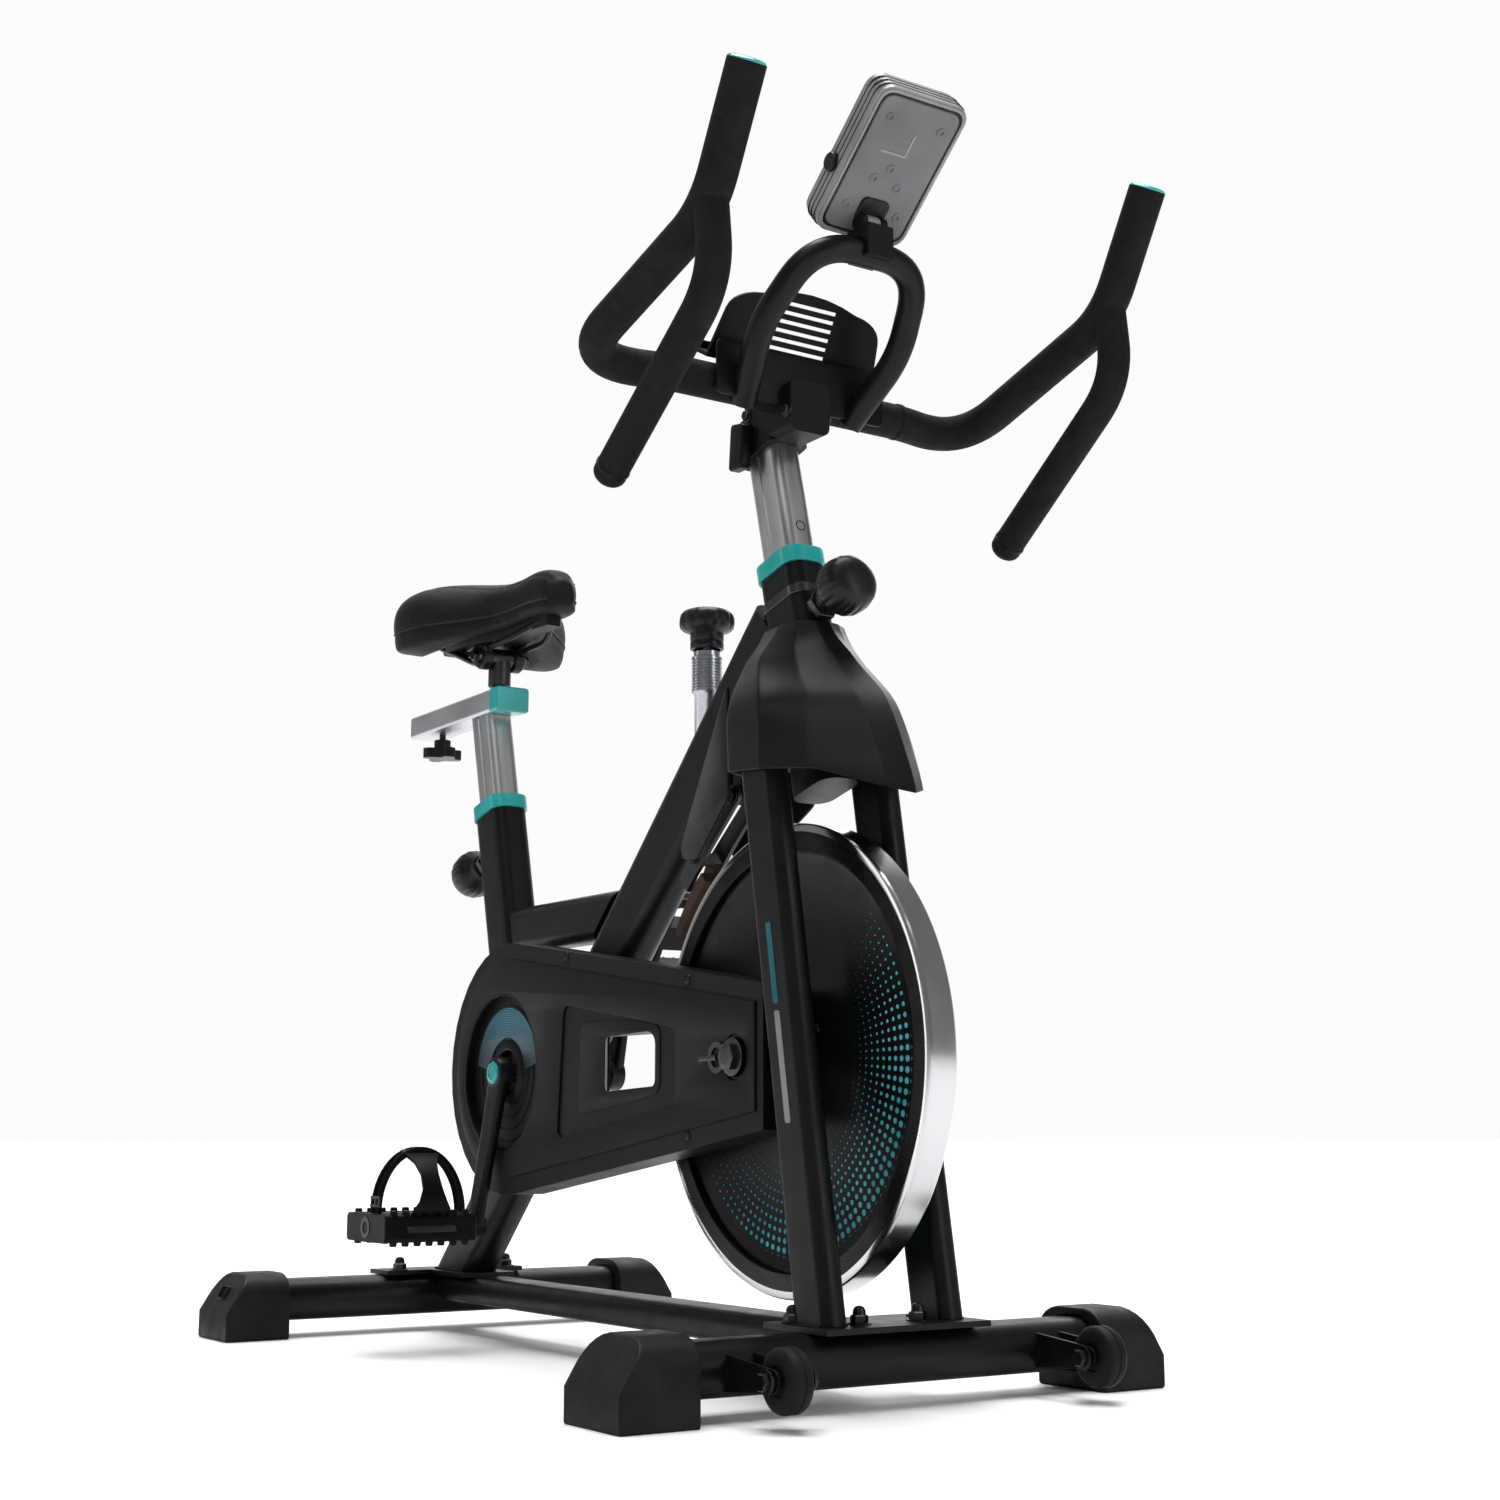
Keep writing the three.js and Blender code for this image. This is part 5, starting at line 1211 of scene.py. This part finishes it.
def dress_knobs():
    seat = facing(on_seat_axis(532), -POST_FRONT)
    head = facing(on_head_axis(683), POST_FRONT)
    lock_knob("seat_height_knob", seat)
    lock_knob("handlebar_height_knob", head)
    nut = [(12.1, 36), (15.4, 36), (16, 36.6), (16, 42), (15.4, 42.6), (12.1, 42.6)]
    for name, place in (("seat_guide_nut", seat), ("head_guide_nut", head)):
        turned(name, nut, place, 6, "frame", DARK_STEEL, closed=True)
    # Dark discs on the posts stand for the shade inside their pin holes: painted shade.
    hole_shade_disc = [(0, -0.4), (5.2, -0.4), (5.2, 0.3), (4.4, 0.3), (4.0, -0.2), (0, -0.2)]
    for name, body, axis, out in (
        ("post_hole_shade_discs", "handlebar", on_head_axis(768), POST_FRONT),
        ("seat_post_hole_shade_disc", "seat", on_seat_axis(612), -POST_FRONT),
    ):
        turned(name, hole_shade_disc, facing(axis + out * 25.0 * MM, out), 32, body, BOLT)

    profile = [
        (4.4, 691), (13.6, 691), (13.6, 686), (15.8, 686), (16.5, 686.8), (16.5, 693), (15.8, 694),
        (16.5, 695), (16.5, 702), (18.5, 703.6), (24, 705.4), (26.6, 708), (27.5, 711.5),
        (27.5, 716), (26.4, 720.4), (23.4, 723.8), (18, 726), (12, 727), (0, 727.5),
    ]
    base = facing(at(599, 0, 0), UP)
    bm = fluted(profile, 12, 1.6, base)
    grip = mesh_of(bm, "tension", 50)
    add("tension_knob_grip", grip, "tension_knob", KNOB_PLASTIC, ("tension_knob",))
    mark = [(0, 727.0), (9, 727.4), (9.6, 728.0), (8.6, 728.3), (0, 728.2)]
    turned("tension_knob_mark", mark, base, 48, "tension_knob", TEAL, (), 38)

    housing = [(4.8, 536), (12, 536), (12, 640), (13.4, 642), (15, 643.5)]
    z = 645.0
    while z < 675:
        housing += [(15.0, z), (15.0, z + 0.9), (13.9, z + 1.5), (13.9, z + 2.1), (15.0, z + 2.7)]
        z += 3.0
    housing += [(15, 678), (14.5, 678.5), (13, 678.5), (13, 683.4), (12.4, 684), (4.8, 684)]
    name, node = "tension_housing_threaded", "tension_housing"
    turned(name, housing, base, 56, "frame", STEEL, (node,), 38, True)


# ------------------------------------------------------------------ handlebar
# Corners of the left half of the bar, and of the left inner bar.
HORN_TOP, JUNCTION = (1004, 218.5, 1068), (945, 218, 962)
BEND, CROSS = (726, 220, 902), (742, 130, 903)
KNEE, TIP = (958, 218, 899), (785, 221, 773)
BAR_RADIUS, GRIP_RADIUS, ARCH_RADIUS = 17, 15, 12.5


def flip(point):
    """The same point on the other side of the bike."""
    return (point[0], -point[1], point[2])


def both_sides(half):
    """A line from one side of the bike to the other, from its left half."""
    return half + [flip(point) for point in reversed(half)]


def dress_handlebar():
    path = softened(both_sides([HORN_TOP, JUNCTION, BEND, CROSS]), [34, 62, 20, 20, 62, 34], 14)
    swept("handlebar_sleeved_tube", path, BAR_RADIUS, 36, "handlebar", FOAM, "handlebar_bar")
    rings, rings_done = group("grip_sleeve_ends", "handlebar", FOAM, 60)
    caps, caps_done = group("handlebar_end_caps", "handlebar", TEAL)
    for side in (1, -1):
        horn, junction, cross, knee, tip = (
            point if side > 0 else flip(point) for point in (HORN_TOP, JUNCTION, CROSS, KNEE, TIP)
        )
        out = (at(*horn) - at(*junction)).normalized()
        cap = [
            (0, -1), (16.6, -1), (16.9, -0.4), (16.9, 0.8), (15.8, 2.0), (12.6, 3.0), (7, 3.6),
            (0, 3.8),
        ]
        revolve(caps, cap, facing(at(*horn), out), 48)
        sleeve = [(16.5, 0), (17.5, 0.4), (17.8, 1.4), (17.8, 4.6), (17.5, 5.6), (16.5, 6)]
        revolve(rings, sleeve, sideways(*cross, -side), 48, closed=True)
        start = Vector(junction).lerp(Vector(horn), 0.08)
        inner = softened([start, knee, tip], [38], 14)
        points, radii = domed(inner, GRIP_RADIUS, 10)
        word = SIDES[side]
        swept(f"inner_grip_{word}", points, radii, 32, "handlebar", FOAM, f"inner_bar_{word}")
        away = (at(*tip) - at(*knee)).normalized()
        band = [
            (14.9, -18), (15.5, -17.6), (15.7, -16.6), (15.7, -15.4), (15.5, -14.4), (14.9, -14)
        ]
        place = facing(at(*tip), away)
        turned(f"inner_grip_collar_{word}", band, place, 44, "handlebar", PLASTIC, closed=True)
    rings_done()
    caps_done()

    arch = softened(
        both_sides([(756, 60, 884), (812, 78, 938), (872, 58, 1001)]), [26, 44, 44, 26], 12
    )
    swept("display_arch_tube", arch, ARCH_RADIUS, 30, "handlebar", PAINT, "display_arch")
    bolts, done = group("clamp_bolts", "handlebar", BOLT)
    for side in (1, -1):
        for x, z in ((705, 878), (705, 892), (772, 879)):
            hex_bolt(bolts, sideways(x, side * 22, z, side), 9, 4.2)
    done()
    ear = rounded_loop([(690, 838), (712, 838), (716, 880), (694, 884)], 5)
    side_plate("clamp_ear", [ear], -28.5, 12, "handlebar", PLASTIC, 2.0)
    apron_outline = [(-94, 885), (94, 885), (94, 937), (-94, 937)]
    apron = plate_mesh(
        "bar_apron", [[(y * MM, z * MM) for y, z in rounded_loop(apron_outline, 7)]], 3, 0.8
    )
    apron.transform(Matrix.Translation(at(763, 0, 0)) @ ACROSS)
    add("bar_apron", apron, "handlebar", PLASTIC)


# ------------------------------------------------------------------ display
DISPLAY_LEAN = math.radians(50.4)
DISPLAY_PLACE = Matrix.Translation(at(874, 0, 1029)) @ Matrix.Rotation(DISPLAY_LEAN, 4, "Y")
DISPLAY_BACK, DISPLAY_MIDDLE, DISPLAY_FACE = -10, 51, -37


# The bars of one digit: their middles in Y and Z, and whether they stand upright.
SEGMENT_BARS = (
    (0, 5, False), (0, 0, False), (0, -5, False), (-3.4, 2.5, True), (3.4, 2.5, True),
    (-3.4, -2.5, True), (3.4, -2.5, True),
)


def on_display(x, y, z):
    """A point given in the display's own axes, in millimetres."""
    return DISPLAY_PLACE @ Vector((x * MM, y * MM, z * MM))


def display_plate(name, loops, x, thickness, body, material, bevel=0.6):
    """A plate facing along the display's own X axis, its loops in the display's Y and Z."""
    metres = [[(y * MM, z * MM) for y, z in loop] for loop in loops]
    mesh = plate_mesh(name, metres, thickness, bevel)
    mesh.transform(DISPLAY_PLACE @ Matrix.Translation((x * MM, 0, 0)) @ ACROSS)
    return add(name, mesh, body, material)


def dress_display():
    low, high = DISPLAY_MIDDLE - 71.5, DISPLAY_MIDDLE + 71.5
    outer, inner = slab(47.4, low + 1.6, high - 1.6, 15), slab(44.6, low + 4.4, high - 4.4, 13)
    display_plate(
        "display_back_rim", [outer, inner], DISPLAY_BACK + 0.4, 3.0, "display", GREY_PLASTIC, 0.9
    )
    # A near-black ring sunk between the back's rim and its panel stands for the shade down in that
    # groove: painted shade.
    outer, inner = slab(44.5, low + 4.5, high - 4.5, 13), slab(42.2, low + 6.8, high - 6.8, 12)
    display_plate(
        "display_back_groove_shade",
        [outer, inner],
        DISPLAY_BACK - 0.2,
        0.6,
        "display",
        KNOB_PLASTIC,
        0.15,
    )
    panel = slab(42, low + 7, high - 7, 12)
    display_plate(
        "display_back_panel", [panel], DISPLAY_BACK + 0.6, 2.4, "display", GREY_PLASTIC_DARK, 0.8
    )
    # Three thin near-black bands round the housing's sides stand for the shade in its grooves:
    # painted shade.
    outer, inner = slab(49.4, low - 0.4, high + 0.4, 15), slab(48, low + 1, high - 1, 14)
    for number, x in enumerate((-17, -23.5, -30)):
        display_plate(
            f"display_side_groove_shade_{number}", [outer, inner], x, 1.1, "display", KNOB_PLASTIC, 0.15
        )
    hatch = [
        (-22, high - 58), (6, high - 58), (6, high - 36), (3.8, high - 36), (3.8, high - 55.8),
        (-22, high - 55.8),
    ]
    display_plate(
        "display_battery_hatch", [hatch], DISPLAY_BACK + 2.0, 1.2, "display", GREY_PLASTIC, 0.3
    )
    wedge = slab(15, low + 17, low + 42, 7)
    display_plate(
        "display_mount_shoe", [wedge], DISPLAY_BACK + 3.0, 4.0, "display", KNOB_PLASTIC, 1.4
    )
    screws, done = group("display_screws", "display", GREY_PLASTIC_DARK)
    along = DISPLAY_PLACE.to_3x3() @ Vector((1, 0, 0))
    head = [(0, 0), (4.2, 0), (4.2, 0.9), (3.0, 1.3), (2.2, 1.3), (2.0, 0.3), (0, 0.3)]
    for y, z in (
        (-28, high - 26), (28, high - 26), (-28, low + 30), (28, low + 30), (-14, low + 60),
        (14, low + 56), (-2, low + 72),
    ):
        revolve(screws, head, facing(on_display(DISPLAY_BACK + 1.7, y, z), along), 28)
    done()
    port = facing(on_display(DISPLAY_BACK - 17, -48.4, low + 56), OUT_RIGHT)
    dome = [(0, 0), (9, 0), (9, 3.4), (7.6, 4.8), (4, 5.2), (0, 5.3)]
    turned("display_side_port", dome, port, 36, "display", KNOB_PLASTIC)
    segments, done = group("screen_segments", "display", SEGMENTS)
    face = DISPLAY_FACE + 0.4
    for row in range(4):
        z0 = DISPLAY_MIDDLE + 48 - row * 22
        for col in range(4):
            y0 = -24 + col * 14
            for dy, dz, tall in SEGMENT_BARS:
                if (row * 7 + col * 3 + round(dy + dz)) % 5 == 0:
                    continue
                reach = (0, 0, 1.9) if tall else (0, 2.6, 0)
                middle = Vector((face, y0 + dy, z0 + dz))
                ends = [DISPLAY_PLACE @ ((middle + Vector(reach) * sign) * MM) for sign in (-1, 1)]
                sweep(segments, ends, 0.55, 6)
    done()


# ------------------------------------------------------------------ saddle
SECTIONS = [
    (42, 62, 792, 826), (50, 86, 778, 842), (74, 104, 767, 850), (104, 107, 765, 851),
    (134, 94, 770, 847), (164, 66, 776, 841), (192, 43, 781, 837), (228, 31, 784, 838),
    (266, 27, 785.5, 840), (292, 23, 786, 835), (305, 13, 792, 821),
]
UNDERSIDE = 785.3
PAD_REAR, PAD_LENGTH = 42.5, 262.0


def section_at(x):
    """Half width, foot and top of the cushion at an x, on a smooth curve through the sections."""
    last = len(SECTIONS) - 1
    i = next((k for k in range(last) if x <= SECTIONS[k + 1][0]), last - 1)
    t = (x - SECTIONS[i][0]) / (SECTIONS[i + 1][0] - SECTIONS[i][0])
    picks = [SECTIONS[min(max(k, 0), last)] for k in (i - 1, i, i + 1, i + 2)]
    return [between([pick[channel] for pick in picks], t) for channel in (1, 2, 3)]


def saddle_ring(x, shrink):
    """The cushion's outline at an x, drawn in all round: over the top, then along the underside."""
    half, foot, top = section_at(x)
    half, top = half - shrink, top - shrink
    middle = foot + (top - foot) * 0.35
    points = []
    for i in range(25):
        angle = i / 24 * math.pi
        c = math.cos(angle)
        y = half * math.copysign(abs(c) ** 0.75, c)
        points.append((x, y, middle + (top - middle) * math.sin(angle) ** 0.72))
    under = max(foot, UNDERSIDE)
    tuck = [(0.5, under), (0.62, foot + 0.6), (0.88, foot + 0.6), (0.96, foot + 3)]
    for share, z in [(-share, z) for share, z in reversed(tuck)] + tuck:
        points.append((x, share * half, z))
    return points


def make_saddle():
    xs = [PAD_REAR + PAD_LENGTH * (0.5 - 0.5 * math.cos(math.pi * i / 54)) for i in range(55)]
    bm = bmesh.new()
    rings = [[bm.verts.new(at(*p)) for p in saddle_ring(x, 1.6)] for x in xs]
    skin(bm, rings)
    bm.faces.new(rings[0])
    bm.faces.new(list(reversed(rings[-1])))
    mesh = mesh_of(bm, "saddle_pad")
    made = add("saddle_padded_cover", mesh, "saddle", LEATHER, ("saddle_cushion",))
    inflate(made)
    groove(made)
    modifier = made.modifiers.new("smooth skin", "SUBSURF")
    modifier.levels = modifier.render_levels = 1
    return made


# How far the air may press the cover out, above and under it, and the lowest it may come.
MOST_SWELL = 4.0 * MM
MOST_SAG = 0.4 * MM
LOWEST_PAD = 764.6 * MM
CLOTH_FRAMES = 14


def inflate(made):
    """Lets the padding press its cover out a little, as cloth with air inside."""
    remesh = made.modifiers.new("voxels", "REMESH")
    remesh.mode = "VOXEL"
    remesh.voxel_size = 0.0042
    freeze(made)
    start = [v.co.copy() for v in made.data.vertices]
    cloth = made.modifiers.new("pressure", "CLOTH")
    settings = cloth.settings
    settings.quality = 5
    settings.mass = 0.3
    settings.use_pressure = True
    settings.uniform_pressure_force = 4.0
    settings.tension_stiffness = settings.compression_stiffness = 60
    settings.shear_stiffness = 30
    settings.bending_stiffness = 2.0
    settings.effector_weights.gravity = 0
    cloth.collision_settings.use_self_collision = False
    cloth.point_cache.frame_start = 1
    cloth.point_cache.frame_end = CLOTH_FRAMES
    for step in range(1, CLOTH_FRAMES + 1):
        bpy.context.scene.frame_set(step)
    freeze(made)
    bpy.context.scene.frame_set(1)
    for vert, before in zip(made.data.vertices, start):
        move = vert.co - before
        under = before.z < UNDERSIDE * MM + 0.002
        limit = MOST_SAG if under else MOST_SWELL
        if move.length > limit:
            move = move.normalized() * limit
        vert.co = before + move
        vert.co.z = max(vert.co.z, LOWEST_PAD)
    made.data.shade_smooth()


def freeze(made):
    """Makes what the piece's modifiers show its own mesh."""
    graph = bpy.context.evaluated_depsgraph_get()
    mesh = bpy.data.meshes.new_from_object(made.evaluated_get(graph))
    made.modifiers.clear()
    material = made.data.materials[0]
    made.data = mesh
    mesh.materials.clear()
    mesh.materials.append(material)


def seam_lines():
    """The sewn lines of the cover, as millimetre points just outside it."""
    lines = []
    for side in (1, -1):
        top, low = [], []
        for i in range(81):
            x = 56 + 240 * i / 80
            half, foot, crown = section_at(x)
            share = 0.66 if x < 150 else 0.66 + 0.06 * min(1, (x - 150) / 60)
            top.append((x, side * half * share, crown + 10))
            low.append((x, side * (half + 14), foot + (crown - foot) * 0.27))
        lines.append(("top", side, top))
        lines.append(("low", side, low))
    return lines


def projected(tree, lines):
    """Seam points carried onto the cover's skin."""
    found = []
    for kind, side, points in lines:
        path = []
        for x, y, z in points:
            origin = at(x, y, z)
            aim = Vector((0, 0, -1)) if kind == "top" else Vector((0, -side, 0))
            hit = tree.ray_cast(origin, aim, 0.08)
            if hit[0] is not None:
                path.append((hit[0], hit[1]))
        found.append((kind, side, path))
    return found


SEAM_REACH, SEAM_DEPTH = 5.5, 1.3
CHANNEL_REAR, CHANNEL_FRONT, CHANNEL_FADE, CHANNEL_DEPTH = 70, 285, 30, 3.2
STITCH_PITCH, STITCH_REACH = 4.6, 1.4
# The saddle clamp's axis, as X and Z.
CLAMP = (147, 760)


def groove(made):
    """Draws the cover in along its seams and down the relief channel."""
    tree = BVHTree.FromObject(made, bpy.context.evaluated_depsgraph_get())
    paths = projected(tree, seam_lines())
    points = [p for _, _, path in paths for p, _ in path]
    mesh = made.data
    normals = [v.normal.copy() for v in mesh.vertices]
    sewn = KDTree(len(points))
    for i, p in enumerate(points):
        sewn.insert(p, i)
    sewn.balance()
    for vert, normal in zip(mesh.vertices, normals):
        near = sewn.find(vert.co)[2] / (SEAM_REACH * MM)
        if near < 1:
            vert.co -= normal * SEAM_DEPTH * MM * (1 - near * near) ** 2
        x, y = vert.co.x / MM + SHIFT, vert.co.y / MM
        if normal.z > 0.3 and CHANNEL_REAR < x < CHANNEL_FRONT:
            width = 8.0 if x < 170 else 5.5
            fade = min(1, (x - CHANNEL_REAR) / CHANNEL_FADE, (CHANNEL_FRONT - x) / CHANNEL_FADE)
            if abs(y) < width:
                vert.co.z -= CHANNEL_DEPTH * MM * fade * (1 - (y / width) ** 2) ** 2


def dress_saddle():
    cover = make_saddle()
    graph = bpy.context.evaluated_depsgraph_get()
    tree = BVHTree.FromObject(cover, graph)
    paths = projected(tree, seam_lines())
    stitches, stitches_done = group("saddle_stitches", "saddle", THREAD, 80)
    trim, trim_done = group("saddle_trim_piping", "saddle", TRIM, 80)
    for kind, side, path in paths:
        if len(path) < 4:
            continue
        walked, sewn = 0.0, 0.0
        for (a, na), (b, _) in zip(path, path[1:]):
            walked += (b - a).length
            if walked - sewn > STITCH_PITCH * MM:
                sewn = walked
                along = (b - a).normalized()
                off = na.cross(along).normalized()
                for shift in (-2.4, 2.4) if kind == "top" else (2.6,):
                    base = a + off * shift * MM + na * 0.15 * MM
                    reach = along * STITCH_REACH * MM
                    sweep(stitches, [base - reach, base + reach], 0.42, 6)
        if kind == "low":
            sweep(trim, [p + n * 0.3 * MM for p, n in path], 1.35, 10)
    stitches_done()
    trim_done()
    bolts, done = group("rail_bolts", "seat", BOLT)
    dome_bolt(bolts, facing(at(-30, 0, 720), UP), 5.2, 3.6)
    done()
    nuts, done = group("saddle_clamp_nuts", "carriage", BOLT)
    for side in (1, -1):
        hex_bolt(nuts, sideways(CLAMP[0], side * 30.5, CLAMP[1], side), 11, 5)
    done()
    rods, done = group("saddle_tail_rods", "saddle", DARK_STEEL)
    for side in (1, -1):
        line = [
            (70, side * 42, 783), (96, side * 30, 770), (122, side * 22, 757), (140, side * 22, 752)
        ]
        sweep(rods, softened(line, [10, 8], 8), 3.4, 14)
    done()
    cheeks, done = group("saddle_clamp_cheeks", "saddle", KNOB_PLASTIC)
    for side in (1, -1):
        cheek = [(7, 13.5), (12.4, 13.5), (14.8, 15.4), (14.8, 24), (13.2, 26.2), (7, 26.2)]
        revolve(cheeks, cheek, sideways(CLAMP[0], 0, CLAMP[1], side), 40, closed=True)
        sweep(cheeks, [at(128, side * 22, 768.5), at(166, side * 22, 768.5)], 5.6, 16)
    done()


# ------------------------------------------------------------------ brake bolts
def dress_works():
    bolts, done = group("brake_bolts", "brake", BOLT)
    for side in (1, -1):
        hex_bolt(bolts, sideways(668, side * 15, 532, side), 12, 5)
        hex_bolt(bolts, sideways(603, side * 14, 478, side), 8, 4)
    done()


for skinned, looks in SKINS.items():
    rounded_copy(skinned, *looks)
for plain, finish in PLAIN.items():
    recolour(plain, finish)
dress_feet()
add_welds()
add_stripes()
add_head_band()
dress_hood()
dress_cover()
for crank_side in (1, -1):
    crank_arm(crank_side)
    pedal(crank_side)
dress_flywheel()
dress_knobs()
dress_handlebar()
dress_display()
dress_saddle()
dress_works()


# ------------------------------------------------------------------ studio
def make_floor():
    mesh = bpy.data.meshes.new("studio_floor")
    reach = 30
    corners = [(-reach, -reach, 0), (reach, -reach, 0), (reach, reach, 0), (-reach, reach, 0)]
    mesh.from_pydata(corners, [], [(0, 1, 2, 3)])
    floor = bpy.data.objects.new("studio_floor", mesh)
    bpy.context.scene.collection.objects.link(floor)
    made = Finish("floor_pale", (0.86, 0.86, 0.87), 0.55)
    made.shine(made.noise(3.0), 0.5, 0.62)
    mesh.materials.append(made.material)


def shown(name, data):
    """An object in the scene that is not part of the bike."""
    holder = bpy.data.objects.new(name, data)
    bpy.context.scene.collection.objects.link(holder)
    return holder


def make_light(name, place, target, size, power):
    light = bpy.data.lights.new(name, "AREA")
    light.shape = "RECTANGLE"
    light.size, light.size_y = size
    light.energy = power
    holder = shown(name, light)
    holder.location = place
    holder.rotation_euler = (Vector(target) - Vector(place)).to_track_quat("-Z", "Y").to_euler()


# Name, place, target, size in metres and power in watts.
LIGHTS = (
    ("key", (1.6, -2.4, 3.4), (0.1, 0, 0.5), (2.0, 1.0), 20),
    ("front_card", (3.2, 1.2, 1.5), (0.2, 0, 0.6), (0.8, 2.6), 24),
    ("left_strip", (-1.9, -2.7, 1.4), (0, 0, 0.6), (0.5, 2.8), 10),
    ("back_rim", (-2.2, 2.2, 2.6), (0, 0, 0.7), (2.0, 1.2), 26),
)


def make_sun():
    light = bpy.data.lights.new("overhead", "SUN")
    light.energy = 4.2
    light.angle = math.radians(40)
    shown("overhead", light).rotation_euler = (math.radians(-4), math.radians(-5), 0)


# The studio's bright wall stands behind the bike; the room in front of it is dimmer.
WALL_DIRECTION = (-0.81, 0.53, 0.25)
WALL_RAMP = ((0.6, (0.2, 0.201, 0.204)), (0.86, (0.97, 0.972, 0.98)))


def make_world():
    world = bpy.data.worlds.new("studio")
    bpy.context.scene.world = world
    world.use_nodes = True
    tree = world.node_tree
    background = tree.nodes["Background"]
    background.inputs["Strength"].default_value = 1.0
    direction = tree.nodes.new("ShaderNodeTexCoord").outputs["Generated"]
    facing_wall = tree.nodes.new("ShaderNodeVectorMath")
    facing_wall.operation = "DOT_PRODUCT"
    facing_wall.inputs[1].default_value = WALL_DIRECTION
    tree.links.new(direction, facing_wall.inputs[0])
    ramp = tree.nodes.new("ShaderNodeValToRGB")
    for element, (position, colour) in zip(ramp.color_ramp.elements, WALL_RAMP):
        element.position = position
        element.color = (*colour, 1)
    tree.links.new(facing_wall.outputs["Value"], ramp.inputs["Fac"])
    tree.links.new(ramp.outputs["Color"], background.inputs["Color"])


# Fitted to the photograph: the place in metres, the turn about X and Z, the lens in millimetres.
CAMERA_PLACE = (2.346016 - SHIFT * MM, -1.09741, 0.22542)
CAMERA_TURN = (math.radians(99.928), 0, math.radians(56.690))
CAMERA_LENS = 51.57


def make_camera():
    camera = bpy.data.cameras.new("camera")
    camera.sensor_width = 36
    camera.lens = CAMERA_LENS
    camera.clip_end = 100
    holder = shown("camera", camera)
    holder.location = CAMERA_PLACE
    holder.rotation_euler = CAMERA_TURN
    bpy.context.scene.camera = holder


make_floor()
for light_set in LIGHTS:
    make_light(*light_set)
make_sun()
make_world()
make_camera()
bpy.context.scene.view_settings.view_transform = "Standard"
